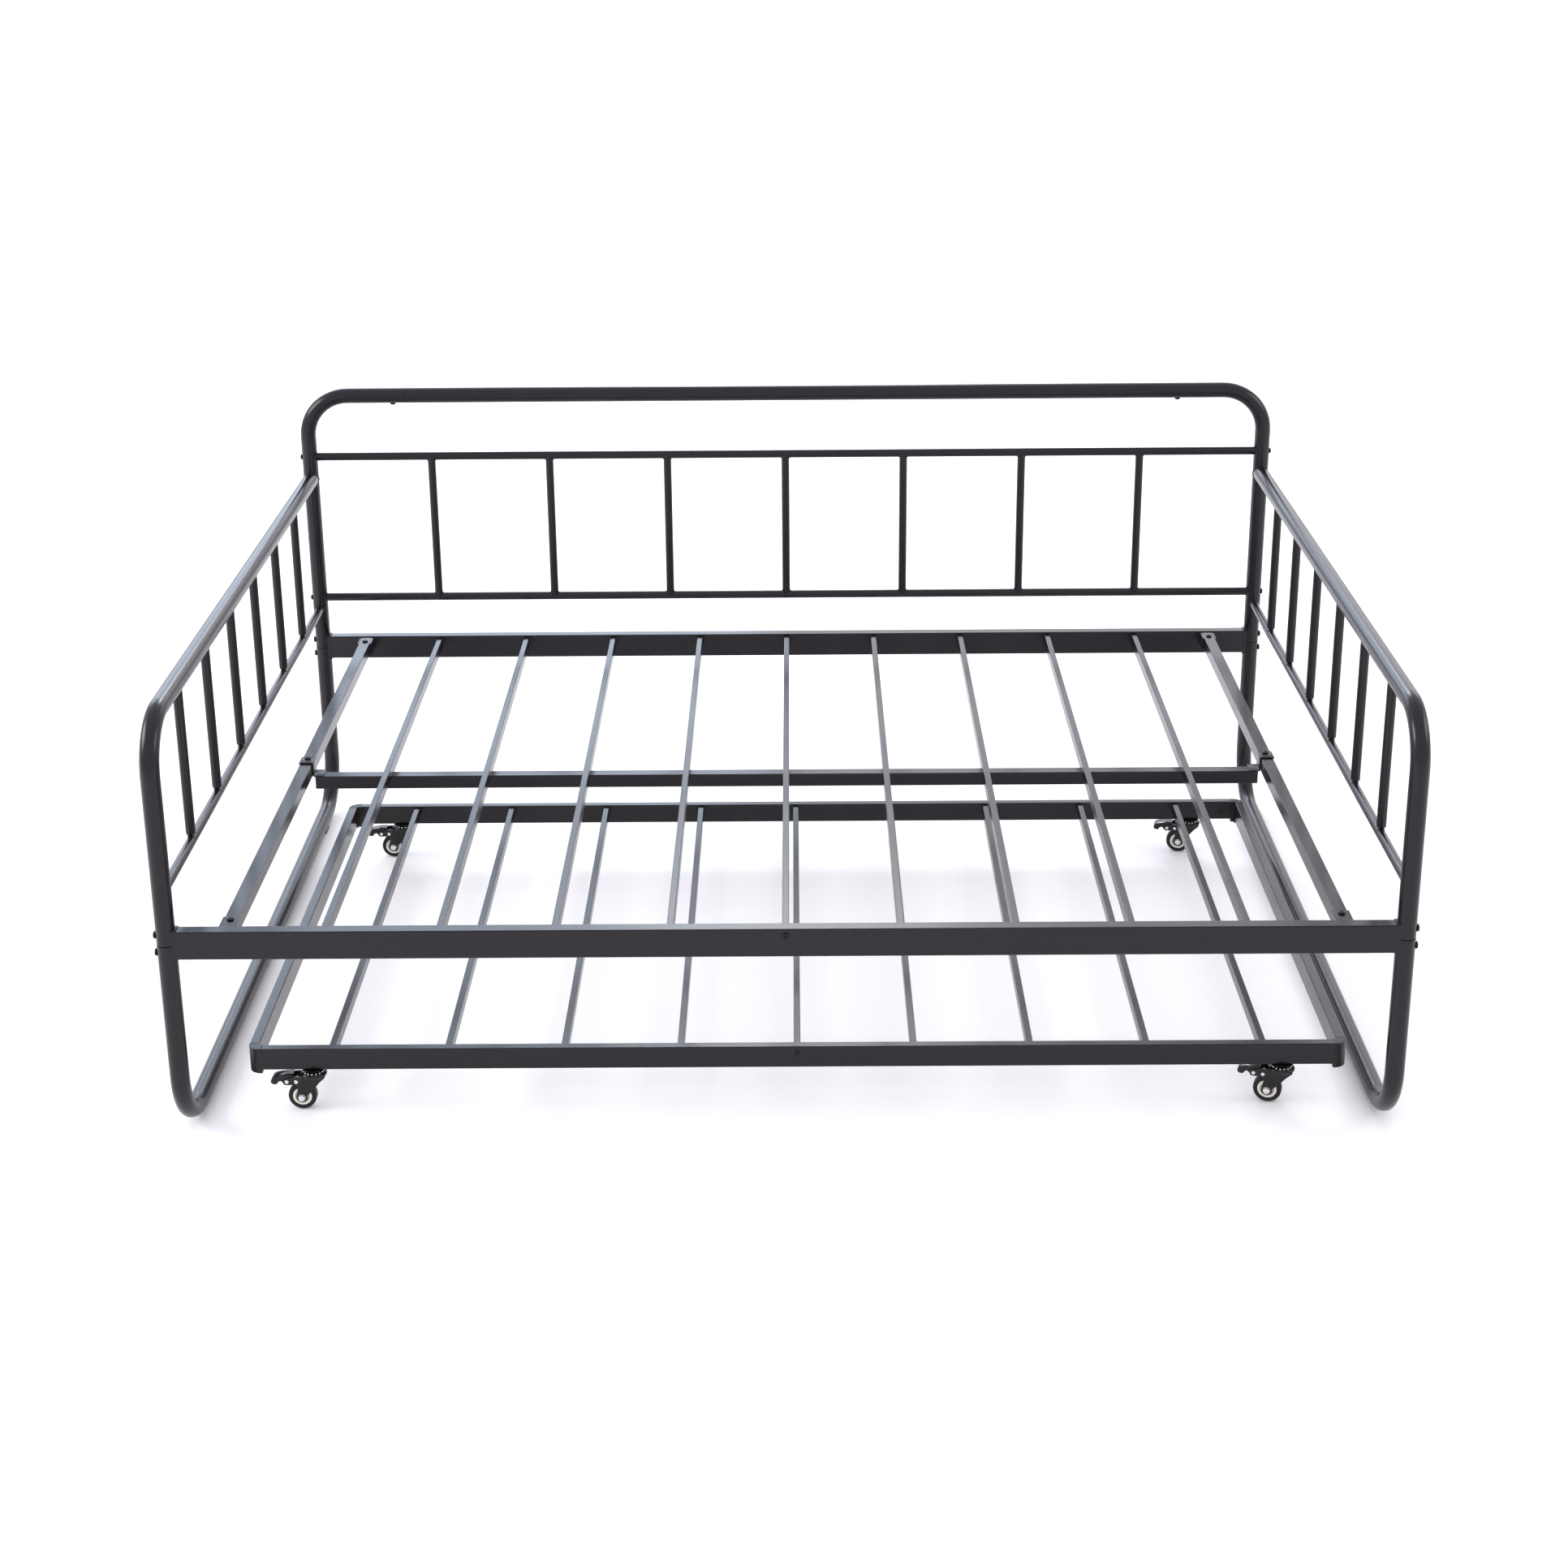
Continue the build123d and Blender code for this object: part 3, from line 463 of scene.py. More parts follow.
def level_edges(shape: Shape, axis: int) -> list[bmesh.types.BMEdge]:
    """Find the edges that lie square to an axis.

    Args:
        shape: The shape.
        axis: 1 for Y, 2 for Z.

    Returns:
        The edges.
    """
    return [edge for edge in shape.edges
            if abs(edge.verts[0].co[axis] - edge.verts[1].co[axis]) < LEVEL]


def spun(shape: Shape, ring: list, steps: int) -> Shape:
    """Spin a ring of points and edges in a full turn about Z.

    Args:
        shape: The shape that holds the ring.
        ring: Its points and edges.
        steps: Steps of the turn.

    Returns:
        The shape, with its seam closed.
    """
    bmesh.ops.spin(shape, geom=ring, cent=(0, 0, 0), axis=(0, 0, 1), angle=math.tau, steps=steps,
                   use_merge=True)
    bmesh.ops.remove_doubles(shape, verts=shape.verts, dist=MERGE)
    return shape


def revolved(profile: Iterable[Point], steps: int = 48, closed: bool = False) -> Shape:
    """Spin a profile about Z.

    Args:
        profile: Radius and height of each point, in millimetres.
        steps: Steps of the full turn.
        closed: Whether the profile is a closed ring that stays off the axis.

    Returns:
        The closed shape.
    """
    shape = bmesh.new()
    verts = [shape.verts.new((radius, 0.0, height)) for radius, height in profile]
    ends = verts[1:] + verts[:1] if closed else verts[1:]
    edges = [shape.edges.new(pair) for pair in zip(verts, ends)]
    spun(shape, verts + edges, steps)
    bmesh.ops.recalc_face_normals(shape, faces=shape.faces)
    return shape


def arc(centre: Point, radius: float, start: float, end: float,
        steps: int) -> list[Point]:
    """Find points along an arc.

    Args:
        centre: Its centre.
        radius: Its radius.
        start: First angle in degrees.
        end: Last angle in degrees.
        steps: Number of steps between them.

    Returns:
        The points, both ends included.
    """
    angles = [math.radians(start + (end - start) * i / steps) for i in range(steps + 1)]
    return [(centre[0] + radius * math.cos(a), centre[1] + radius * math.sin(a)) for a in angles]


def pressed(outline: Iterable[Triple], start: float, depth: float,
            rim: float) -> Shape:
    """Extrude an outline in the XZ plane along +Y, with rounded corners and rims.

    Args:
        outline: X, Z and corner rounding of each point, in millimetres.
        start: Y of the first face.
        depth: Thickness.
        rim: Rounding of the two rims.

    Returns:
        The closed shape.
    """
    shape = bmesh.new()
    corners = [(shape.verts.new((x, start, z)), rounding) for x, z, rounding in outline]
    shape.faces.new([vert for vert, _ in corners])
    for vert, rounding in corners:
        if rounding > 0.0:
            bmesh.ops.bevel(shape, geom=[vert], offset=rounding, segments=CORNER_STEPS, profile=0.5,
                            affect="VERTICES", material=-1)
    out = bmesh.ops.extrude_face_region(shape, geom=shape.faces[:])["geom"]
    moved = [item for item in out if isinstance(item, bmesh.types.BMVert)]
    bmesh.ops.translate(shape, verts=moved, vec=(0.0, depth, 0.0))
    bmesh.ops.recalc_face_normals(shape, faces=shape.faces)
    return rounded(shape, level_edges(shape, 1), rim, 2, clamp=True)


def moulded_block(size: Triple, rounding: float) -> Shape:
    """Make a block about the origin with every edge rounded.

    Args:
        size: Its size, in millimetres.
        rounding: Rounding of its edges.

    Returns:
        The closed block.
    """
    shape = bmesh.new()
    bmesh.ops.create_cube(shape, size=1.0)
    bmesh.ops.scale(shape, verts=shape.verts, vec=size)
    return rounded(shape, shape.edges, rounding, 3)


def saddle_bead(branch: float, host: float, bead: float, ripples: int = 17) -> Shape:
    """Lay a weld bead where a round branch along +Z stands on a round host along X.

    Args:
        branch: Radius of the branch.
        host: Radius of the host, whose axis passes through the origin.
        bead: Radius of the bead.
        ripples: Number of ripples round the bead.

    Returns:
        The closed bead, in millimetres.
    """
    shape = bmesh.new()
    place = Matrix.Translation((branch, 0.0, 0.0)) @ Matrix.Rotation(math.pi / 2, 4, "X")
    bmesh.ops.create_circle(shape, segments=WIRE_SIDES, radius=bead, matrix=place)
    spun(shape, shape.verts[:] + shape.edges[:], BEAD_STEPS)
    for vert in shape.verts:
        angle = math.atan2(vert.co.y, vert.co.x)
        swell = 1.0 + BEAD_RIPPLE * math.sin(ripples * angle)
        reach = branch + (math.hypot(vert.co.x, vert.co.y) - branch) * swell
        height = vert.co.z * swell
        vert.co = (reach * math.cos(angle), reach * math.sin(angle), height)
        across = min(abs(branch * math.sin(angle)), host)
        vert.co.z += math.sqrt(host * host - across * across)
    bmesh.ops.recalc_face_normals(shape, faces=shape.faces)
    return shape


def tack_bead(size: Triple) -> Shape:
    """Make one short weld tack, a drawn-out drop about the origin.

    Args:
        size: Its size, in millimetres.

    Returns:
        The closed drop.
    """
    shape = bmesh.new()
    bmesh.ops.create_icosphere(shape, subdivisions=2, radius=0.5)
    bmesh.ops.scale(shape, verts=shape.verts, vec=size)
    return shape


def coil(radius: float, wire: float, turns: float, rise: float) -> Shape:
    """Wind a wire round Y, in millimetres.

    Args:
        radius: Radius of the coil at the middle of the wire.
        wire: Radius of the wire.
        turns: Number of turns.
        rise: Advance along Y over all turns.

    Returns:
        The coil with closed ends, centred on the origin.
    """
    shape = bmesh.new()
    place = Matrix.Translation((radius, -rise / 2, 0.0))
    bmesh.ops.create_circle(shape, cap_ends=True, segments=WIRE_SIDES, radius=wire, matrix=place)
    steps = int(turns * COIL_STEPS)
    bmesh.ops.spin(shape, geom=[*shape.verts, *shape.edges, *shape.faces], cent=(0, 0, 0),
                   axis=(0, 1, 0), dvec=(0.0, rise / steps, 0.0), angle=math.tau * turns, steps=steps)
    bmesh.ops.recalc_face_normals(shape, faces=shape.faces)
    return shape


def bar(start: Triple, end: Triple, radius: float, segments: int = 16) -> Shape:
    """Make a round bar with softened ends between two points.

    Args:
        start: One end, in millimetres.
        end: The other end.
        radius: Its radius.
        segments: Facets round it.

    Returns:
        The closed bar.
    """
    shape = bmesh.new()
    reach = Vector(end) - Vector(start)
    bmesh.ops.create_cone(shape, cap_ends=True, segments=segments, radius1=radius, radius2=radius,
                          depth=reach.length)
    rounded(shape, level_edges(shape, 2), radius / 4, 2)
    turn = reach.to_track_quat("Z", "Y").to_matrix().to_4x4()
    return placed(shape, Matrix.Translation((Vector(start) + Vector(end)) / 2) @ turn)


def placed(shape: Shape, matrix: Matrix) -> Shape:
    """Move a shape by a matrix and return it."""
    bmesh.ops.transform(shape, matrix=matrix, verts=shape.verts)
    return shape


def standing_on(point: Triple, branch: Triple, host: Triple) -> Matrix:
    """Find the frame of a welded joint, from millimetres to metres.

    Args:
        point: Its place on the host's axis, in metres.
        branch: Way of the branch, which becomes Z.
        host: Way of the host, which becomes X.

    Returns:
        The frame.
    """
    up = Vector(branch).normalized()
    ahead = Vector(host).normalized()
    turned = Matrix((ahead, up.cross(ahead), up)).transposed().to_4x4()
    return Matrix.Translation(point) @ turned @ Matrix.Scale(MM, 4)


@dataclass
class Bench:
    """Joins shapes into pieces that ride on a body, and dresses and logs them.

    Attributes:
        wardrobe: Dresses the pieces.
        sharp: Angle from which an edge is shaded sharp.
    """

    wardrobe: Wardrobe
    sharp: float = math.radians(38.0)

    def piece(self, name: str, parts: Iterable[Shape], body: str, slot: Slot,
              replaces: tuple[str, ...] = ()) -> bpy.types.Object:
        """Join shapes into one piece.

        Args:
            name: Its name.
            parts: Its shapes, in metres and in place.
            body: The body that it rides on.
            slot: The slot of its finish.
            replaces: Frame nodes that it stands for.

        Returns:
            The piece.
        """
        whole = bmesh.new()
        for part in parts:
            step = bpy.data.meshes.new("part")
            part.to_mesh(step)
            part.free()
            whole.from_mesh(step)
            bpy.data.meshes.remove(step)
        for face in whole.faces:
            face.smooth = True
        for edge in whole.edges:
            edge.smooth = edge.calc_face_angle(0.0) < self.sharp
        mesh = bpy.data.meshes.new(name)
        whole.to_mesh(mesh)
        whole.free()
        piece = bpy.data.objects.new(name, mesh)
        bpy.context.collection.objects.link(piece)
        self.wardrobe.dress_piece(piece, slot)
        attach(piece, body)
        if replaces:
            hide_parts(*replaces)
        LOG.info("%s: %d faces on %s", name, len(mesh.polygons), body)
        return piece


def middle(node: str) -> Vector:
    """Return the middle of a node's box."""
    low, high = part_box(node)
    return (Vector(low) + Vector(high)) / 2


def along(node: str, axis: int, count: int, width: float) -> list[float]:
    """Find the places of a node's evenly pitched bars.

    Args:
        node: The node that holds them.
        axis: 0 for X, 1 for Y.
        count: How many bars it holds.
        width: Width of one bar.

    Returns:
        Their middles along the axis.
    """
    low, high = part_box(node)
    first = low[axis] + width / 2
    last = high[axis] - width / 2
    return [first + (last - first) * i / (count - 1) for i in range(count)]


# ------------ daybed frame
@dataclass
class SideFrame:
    """One arm with its sled leg: the weld beads of its rails and spindles.

    Attributes:
        side: Which side it is.
        tube: Radius of the leg and arm tubes, in millimetres.
        thin: Radius of the thin rail.
        spindle: Radius of a spindle.
        foot: Radius of its narrowed foot.
        spindles: How many there are.
        bead: Radius of a bead.
    """

    side: str
    tube: float = 15.5
    thin: float = 8.25
    spindle: float = 8.1
    foot: float = 5.6
    spindles: int = 6
    bead: float = 1.1

    def build(self, bench: Bench) -> None:
        """Make the beads of this side."""
        bench.piece(f"{self.side}_arm_welds", [*self._spindle_beads(), *self._rail_beads()],
                    BODY_FRAME, Slot.ENAMEL)

    def _spindle_beads(self) -> list[Shape]:
        """Lay the beads at the top and the foot of each spindle.

        Returns:
            The beads.
        """
        rail = middle(f"{self.side}_arm_lower_rail")
        arm_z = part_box(f"{self.side}_arm_tube")[1][2] - self.tube * MM
        beads = []
        for y in along(f"{self.side}_arm_spindles", 1, self.spindles, 2 * self.spindle * MM):
            head = standing_on((rail.x, y, arm_z), (0, 0, -1), (0, 1, 0))
            beads.append(placed(saddle_bead(self.spindle, self.tube, self.bead), head))
            foot = standing_on((rail.x, y, rail.z), (0, 0, 1), (0, 1, 0))
            beads.append(placed(saddle_bead(self.foot, self.thin, self.bead), foot))
        return beads

    def _rail_beads(self) -> list[Shape]:
        """Lay the beads where the rail meets both posts, and the arm its back post.

        Returns:
            The beads.
        """
        rail = middle(f"{self.side}_arm_lower_rail")
        low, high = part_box(f"{self.side}_leg_runner")
        front = low[1] + self.tube * MM
        back = high[1] - self.tube * MM
        beads = []
        for y, way in ((front, 1.0), (back, -1.0)):
            joint = standing_on((rail.x, y, rail.z), (0, way, 0), (0, 0, 1))
            beads.append(placed(saddle_bead(self.thin, self.tube, self.bead), joint))
        arm_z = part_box(f"{self.side}_arm_tube")[1][2] - self.tube * MM
        joint = standing_on((rail.x, back, arm_z), (0, -1, 0), (0, 0, 1))
        beads.append(placed(saddle_bead(self.tube, self.tube, self.bead * 1.3, 31), joint))
        return beads


@dataclass
class BackRest:
    """The back rest: the weld beads at both ends of its upright bars.

    Attributes:
        thin: Radius of the two rails, in millimetres.
        spindle: Radius of a spindle.
        spindles: How many there are.
        bead: Radius of a bead.
    """

    thin: float = 8.25
    spindle: float = 8.1
    spindles: int = 7
    bead: float = 1.5

    def build(self, bench: Bench) -> None:
        """Make the beads of the back rest.

        Args:
            bench: Makes the pieces.
        """
        beads = []
        for node, way in (("back_upper_rail", -1.0), ("back_lower_rail", 1.0)):
            rail = middle(node)
            for x in along("back_spindles", 0, self.spindles, 2 * self.spindle * MM):
                joint = standing_on((x, rail.y, rail.z), (0, 0, way), (1, 0, 0))
                beads.append(placed(saddle_bead(self.spindle, self.thin, self.bead), joint))
        bench.piece("back_rest_welds", beads, BODY_FRAME, Slot.ENAMEL)


@dataclass
class SlatBed:
    """A row of slats between two rails: the weld tacks at both sides of each end.

    Attributes:
        name: Name of the piece.
        node: The node of the slats.
        body: The body that they ride on.
        slats: How many there are.
        slat: Width of a slat, in millimetres.
        tack: Size of a tack.
    """

    name: str
    node: str
    body: str
    slats: int = 9
    slat: float = 11.0
    tack: Triple = (2.0, 2.4, 16.0)

    def build(self, bench: Bench) -> None:
        """Make the tacks of the row.

        Args:
            bench: Makes the pieces.
        """
        low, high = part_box(self.node)
        level = (low[2] + high[2]) / 2
        tacks = []
        for x in along(self.node, 0, self.slats, self.slat * MM):
            for y in (low[1], high[1]):
                for side in (-1, 1):
                    spot = Vector((x + side * self.slat * MM / 2, y, level))
                    place = Matrix.Translation(spot) @ Matrix.Scale(MM, 4)
                    tacks.append(placed(tack_bead(self.tack), place))
        bench.piece(self.name, tacks, self.body, Slot.ENAMEL)


@dataclass
class BeamCaps:
    """Moulded plugs in the ends of the middle beam.

    Attributes:
        lip: Thickness of the visible lip, in millimetres.
        play: How much smaller than the beam the lip is.
        wall: How much smaller than the beam the plug is.
        plug: Depth of the plug.
        steps: Width and depth of each step in the lip's face.
    """

    lip: float = 1.4
    play: float = 0.6
    wall: float = 4.0
    plug: float = 9.0
    steps: tuple[Point, ...] = ((2.4, -0.5), (1.0, 0.0))

    def build(self, bench: Bench) -> None:
        """Make both plugs.

        Args:
            bench: Makes the pieces.
        """
        low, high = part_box("middle_beam")
        centre = middle("middle_beam")
        across = (high[1] - low[1]) / MM
        height = (high[2] - low[2]) / MM
        parts = []
        for x, way in ((low[0], -1), (high[0], 1)):
            place = Matrix.Translation((x, centre.y, centre.z)) @ Matrix.Scale(MM, 4)
            cap = moulded_block((self.lip, across - self.play, height - self.play), 0.6)
            face = max(cap.faces, key=lambda f: f.calc_area() if f.normal.x * way > 0.9 else 0.0)
            for thickness, depth in self.steps:
                bmesh.ops.inset_individual(cap, faces=[face], thickness=thickness, depth=depth)
            bmesh.ops.translate(cap, verts=cap.verts, vec=(way * self.lip / 2, 0.0, 0.0))
            parts.append(placed(cap, place))
            plug = moulded_block((self.plug, across - self.wall, height - self.wall), 0.8)
            bmesh.ops.translate(plug, verts=plug.verts, vec=(-way * self.plug / 2, 0.0, 0.0))
            parts.append(placed(plug, place))
        bench.piece("beam_end_caps", parts, BODY_FRAME, Slot.PLASTIC)


@dataclass
class BeamHangers:
    """Z straps, bent from strip, that hang the middle beam from the end bars.

    Attributes:
        strip: Thickness of the strip, in millimetres.
        bar: Width of the end bar.
        width: Width of the strip.
        overhang: How far the strap reaches past the bar.
        lip: Length of the foot on the beam.
        bend: Outer radius of the bends.
    """

    strip: float = 2.5
    bar: float = 22.0
    width: float = 30.0
    overhang: float = 2.6
    lip: float = 19.0
    bend: float = 3.4

    def build(self, bench: Bench) -> None:
        """Make both hangers, each as tall as its node's box.

        Args:
            bench: Makes the pieces.
        """
        low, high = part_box("beam_hangers")
        parts = []
        for side in SIDES:
            bar_x = middle(f"{side}_end_bars").x
            way = -1.0 if bar_x > 0 else 1.0
            place = Matrix.Translation((bar_x, low[1], low[2])) @ Matrix.Diagonal((way, 1.0, 1.0, 1.0))
            strap = placed(self._strap((high[2] - low[2]) / MM), place @ Matrix.Scale(MM, 4))
            bmesh.ops.recalc_face_normals(strap, faces=strap.faces)
            parts.append(strap)
        bench.piece("bent_hangers", parts, BODY_FRAME, Slot.ENAMEL, ("beam_hangers",))

    def _strap(self, rise: float) -> Shape:
        """Bend one strap.

        Args:
            rise: Height from the beam's top to the strap's top, in millimetres.

        Returns:
            The strap, with the bar's middle at X = 0 and the beam's top at Z = 0.
        """
        side = self.bar / 2 + 0.3
        outer = side + self.strip
        left = -self.bar / 2 - self.overhang
        tight = self.bend - self.strip
        outline = [
            (left, rise - self.strip - 1.2, 0.8), (left + 1.2, rise - self.strip, 0.6),
            (side, rise - self.strip, tight), (side, 0.0, self.bend), (side + self.lip, 0.0, 0.8),
            (side + self.lip, self.strip, 0.8), (outer, self.strip, tight), (outer, rise, self.bend),
            (left + 0.6, rise, 2.0),
        ]
        return pressed(outline, 0.0, self.width, 0.5)


# ------------ casters
@dataclass
class Caster:
    """One swivel caster with a foot brake, modelled about its swivel axis in millimetres.

    Attributes:
        corner: Which corner it stands at.
        axis: The swivel axis, in metres.
        axle: Height of the axle, and the radius of the wheel.
        trail: Distance of the axle behind the swivel axis.
        gap: Inner face of a fork cheek from the wheel's middle.
        cheek: Thickness of a cheek.
        pivot: The pedal's pin.
        rest: The rivet ahead of the pedal's pin.
        crown: Radius and height of the crown's rim.
        half_width: Half of the wheel's width.
    """

    corner: str
    axis: Vector
    axle: float = 23.5
    trail: float = 20.5
    gap: float = 10.2
    cheek: float = 2.0
    pivot: Point = (-28.2, 52.7)
    rest: Point = (-43.7, 52.7)
    crown: Point = (21.8, 64.6)
    half_width: float = 8.5

    def build(self, bench: Bench) -> None:
        """Make every piece of the caster.

        Args:
            bench: Makes the pieces.
        """
        swivel = f"{self.corner}_swivel"
        wheel = f"{self.corner}_wheel"
        self._piece(bench, "pressed_fork", [self._crown(), *self._cheeks()], swivel, Slot.CASTER, "fork")
        self._piece(bench, "nut_and_rivets", self._fasteners(), swivel, Slot.ZINC, "axle_and_rivets")
        self._piece(bench, "pedal_spring", self._spring(), swivel, Slot.ZINC)
        self._piece(bench, "foot_pedal", self._pedal(), f"{self.corner}_pedal", Slot.CASTER, "brake_pedal")
        self._piece(bench, "nylon_hub", [self._hub()], wheel, Slot.NYLON, "hub")
        self._piece(bench, "rubber_tyre", [self._tyre()], wheel, Slot.TYRE, "tyre")

    def stand(self) -> Matrix:
        """Find the frame of the caster as it stands.

        Returns:
            The frame, from millimetres to metres.
        """
        spot = Vector((self.axis[0], self.axis[1], 0.0))
        hub = middle(f"{self.corner}_hub")
        turn = math.atan2(spot.y - hub.y, spot.x - hub.x)
        return Matrix.Translation(spot) @ Matrix.Rotation(turn, 4, "Z") @ Matrix.Scale(MM, 4)

    def _piece(self, bench: Bench, label: str, parts: list[Shape], body: str, slot: Slot,
               node: str = "") -> None:
        """Place shapes as this caster stands and join them into one piece.

        Args:
            bench: Makes the pieces.
            label: The piece's name without the corner.
            parts: Its shapes, in millimetres.
            body: The body that it rides on.
            slot: The slot of its finish.
            node: The node that it stands for, without the corner.
        """
        shapes = [placed(part, self.stand()) for part in parts]
        nodes = (f"{self.corner}_{node}",) if node else ()
        bench.piece(f"{self.corner}_{label}", shapes, body, slot, nodes)

    def _crown(self) -> Shape:
        """Turn the dished crown with a groove for the balls.

        Returns:
            The crown.
        """
        reach, height = self.crown
        outer = arc((reach - 4.2, height - 1.2), 4.2, 75.0, -62.0, 10)
        groove = arc((16.5, 68.6), 2.2, 205.0, 335.0, 8)
        profile = [(5.6, 57.5), (5.6, 66.4), (13.4, 66.9), *groove, *outer, (14.5, 58.6), (10.5, 57.5)]
        return revolved(profile, 56, closed=True)

    def _cheeks(self) -> list[Shape]:
        """Press two cheeks with a round boss at the axle and an ear for the pedal.

        Returns:
            The cheeks.
        """
        boss = [(x, z, 0.0) for x, z in arc((-self.trail, self.axle), 9.2, 18.0, -198.0, 26)]
        outline = [
            (20.2, 61.6, 0.0), (18.6, 58.6, 3.0), (10.5, 52.0, 6.0), (2.4, 41.0, 9.0), *boss,
            (-25.6, 43.0, 5.0), (-31.5, 47.6, 4.0), (-44.0, 46.8, 2.0), (-49.6, 48.0, 2.4),
            (-50.4, 57.6, 2.6), (-36.0, 60.6, 4.0), (-30.0, 61.6, 0.0),
        ]
        return [pressed(outline, -self.gap - self.cheek, self.cheek, 0.45),
                pressed(outline, self.gap, self.cheek, 0.45)]

    def _fasteners(self) -> list[Shape]:
        """Make the axle with its nut, washer and domed head, and the two rivets of the ears.

        Returns:
            The fasteners.
        """
        outer = self.gap + self.cheek
        facing_front = Matrix.Rotation(math.pi / 2, 4, "X")
        facing_back = Matrix.Rotation(-math.pi / 2, 4, "X")
        front = Matrix.Translation((-self.trail, -outer, self.axle)) @ facing_front
        back = Matrix.Translation((-self.trail, outer, self.axle)) @ facing_back
        nut = bmesh.new()
        bmesh.ops.create_cone(nut, cap_ends=True, segments=6, radius1=5.9, radius2=5.9, depth=3.6,
                              matrix=Matrix.Translation((0.0, 0.0, 2.6)))
        rounded(nut, nut.edges, 0.55, 2)
        end = revolved([(0.0, 5.0), (1.2, 5.2), (2.2, 5.1), (2.8, 4.5), (2.8, 3.0), (0.0, 3.0)], 32)
        washer = revolved([(3.0, 0.0), (6.0, 0.0), (6.0, 0.8), (3.0, 0.8)], 40, closed=True)
        head = revolved([(0.0, 3.3), (2.4, 3.1), (4.4, 2.4), (5.4, 1.2), (5.6, 0.0), (0.0, 0.0)], 40)
        parts = [placed(shape, front) for shape in (nut, end, washer)]
        parts.append(placed(head, back))
        parts.append(bar((-self.trail, -outer - 0.5, self.axle), (-self.trail, outer + 0.5, self.axle), 2.9))
        cap = [(0.0, 0.2), (0.9, 0.25), (1.4, 1.1), (1.8, 1.3), (2.8, 1.2), (3.4, 0.6), (3.5, 0.0),
               (0.0, 0.0)]
        for x, z in (self.pivot, self.rest):
            for level, facing in ((-outer, facing_front), (outer, facing_back)):
                parts.append(placed(revolved(cap, 32), Matrix.Translation((x, level, z)) @ facing))
            parts.append(bar((x, -outer - 0.3, z), (x, outer + 0.3, z), 1.9))
        return parts

    def _spring(self) -> list[Shape]:
        """Wind the torsion spring round the pedal's pin, with its two legs.

        Returns:
            The coil and its legs.
        """
        x, z = self.pivot
        wound = placed(coil(3.6, 0.55, 3.0, 5.4), Matrix.Translation((x, 0.0, z)))
        lower = bar((x - 2.0, -6.8, z - 3.4), (x - 16.4, -8.0, z - 6.0), 0.55, 8)
        tail = bar((x - 16.0, -8.0, z - 5.8), (x - 20.6, -8.2, z - 14.4), 0.55, 8)
        upper = bar((x + 1.5, 2.7, z + 3.3), (x - 12.0, 2.9, z + 5.0), 0.55, 8)
        return [wound, lower, tail, upper]

    def _pedal(self) -> list[Shape]:
        """Mould the foot pedal with a rounded toe, raised ribs and its lever.

        Returns:
            The pedal and its ribs.
        """
        width = 2 * self.gap - 1.2
        outline = [
            (-33.5, 64.0, 1.6), (-47.0, 63.4, 6.0), (-64.6, 60.6, 3.4), (-71.0, 56.0, 4.0),
            (-70.0, 47.6, 3.6), (-60.4, 46.9, 3.0), (-58.6, 52.0, 2.4), (-53.6, 53.6, 1.8),
            (-51.2, 50.0, 2.0), (-46.6, 47.4, 1.2), (-40.0, 48.6, 0.0), (-24.4, 50.2, 1.6),
            (-23.6, 55.6, 2.0), (-31.0, 57.4, 2.0), (-32.4, 60.0, 1.0),
        ]
        parts = [pressed(outline, -width / 2, width, 0.8)]
        for i in range(4):
            rib = moulded_block((1.7, width - 2.6, 1.6), 0.7)
            bmesh.ops.translate(rib, verts=rib.verts, vec=(-36.0 - 3.5 * i, 0.0, 64.1 - 0.10 * i))
            parts.append(rib)
        return parts

    def _hub(self) -> Shape:
        """Mould the hub: a rounded rim ring, a thin web and a boss.

        Returns:
            The hub.
        """
        half = self.half_width
        side = [(3.3, half + 0.4), (6.0, half + 0.4), (6.6, half - 0.2), (7.2, 5.0), (8.0, 4.4), (9.8, 4.4),
                (10.7, 5.0), (11.2, half - 0.8), (11.8, half - 0.2), (14.6, half - 0.1), (15.4, half - 0.5),
                (16.05, half - 1.4)]
        profile = side + [(radius, -height) for radius, height in reversed(side)]
        return placed(revolved(profile, 64, closed=True), self._on_axle())

    def _tyre(self) -> Shape:
        """Mould the tyre with rounded shoulders, a step at the hub and a faint moulding line.

        Returns:
            The tyre.
        """
        half = self.half_width
        radius = self.axle
        side = [(16.0, half - 1.0), (16.6, half - 0.35), (17.4, half - 0.1), (18.6, half)]
        shoulder = arc((radius - 3.6, half - 3.6), 3.5, 84.0, 8.0, 8)
        tread = [(radius - 0.04, 2.6), (radius - 0.12, 0.45), (radius, 0.0)]
        half_profile = side + shoulder + tread
        profile = half_profile + [(r, -h) for r, h in reversed(half_profile[:-1])]
        return placed(revolved(profile, 72, closed=True), self._on_axle())

    def _on_axle(self) -> Matrix:
        """Return the frame of the wheel, with its axis along Y at the axle."""
        return Matrix.Translation((-self.trail, 0.0, self.axle)) @ Matrix.Rotation(math.pi / 2, 4, "X")


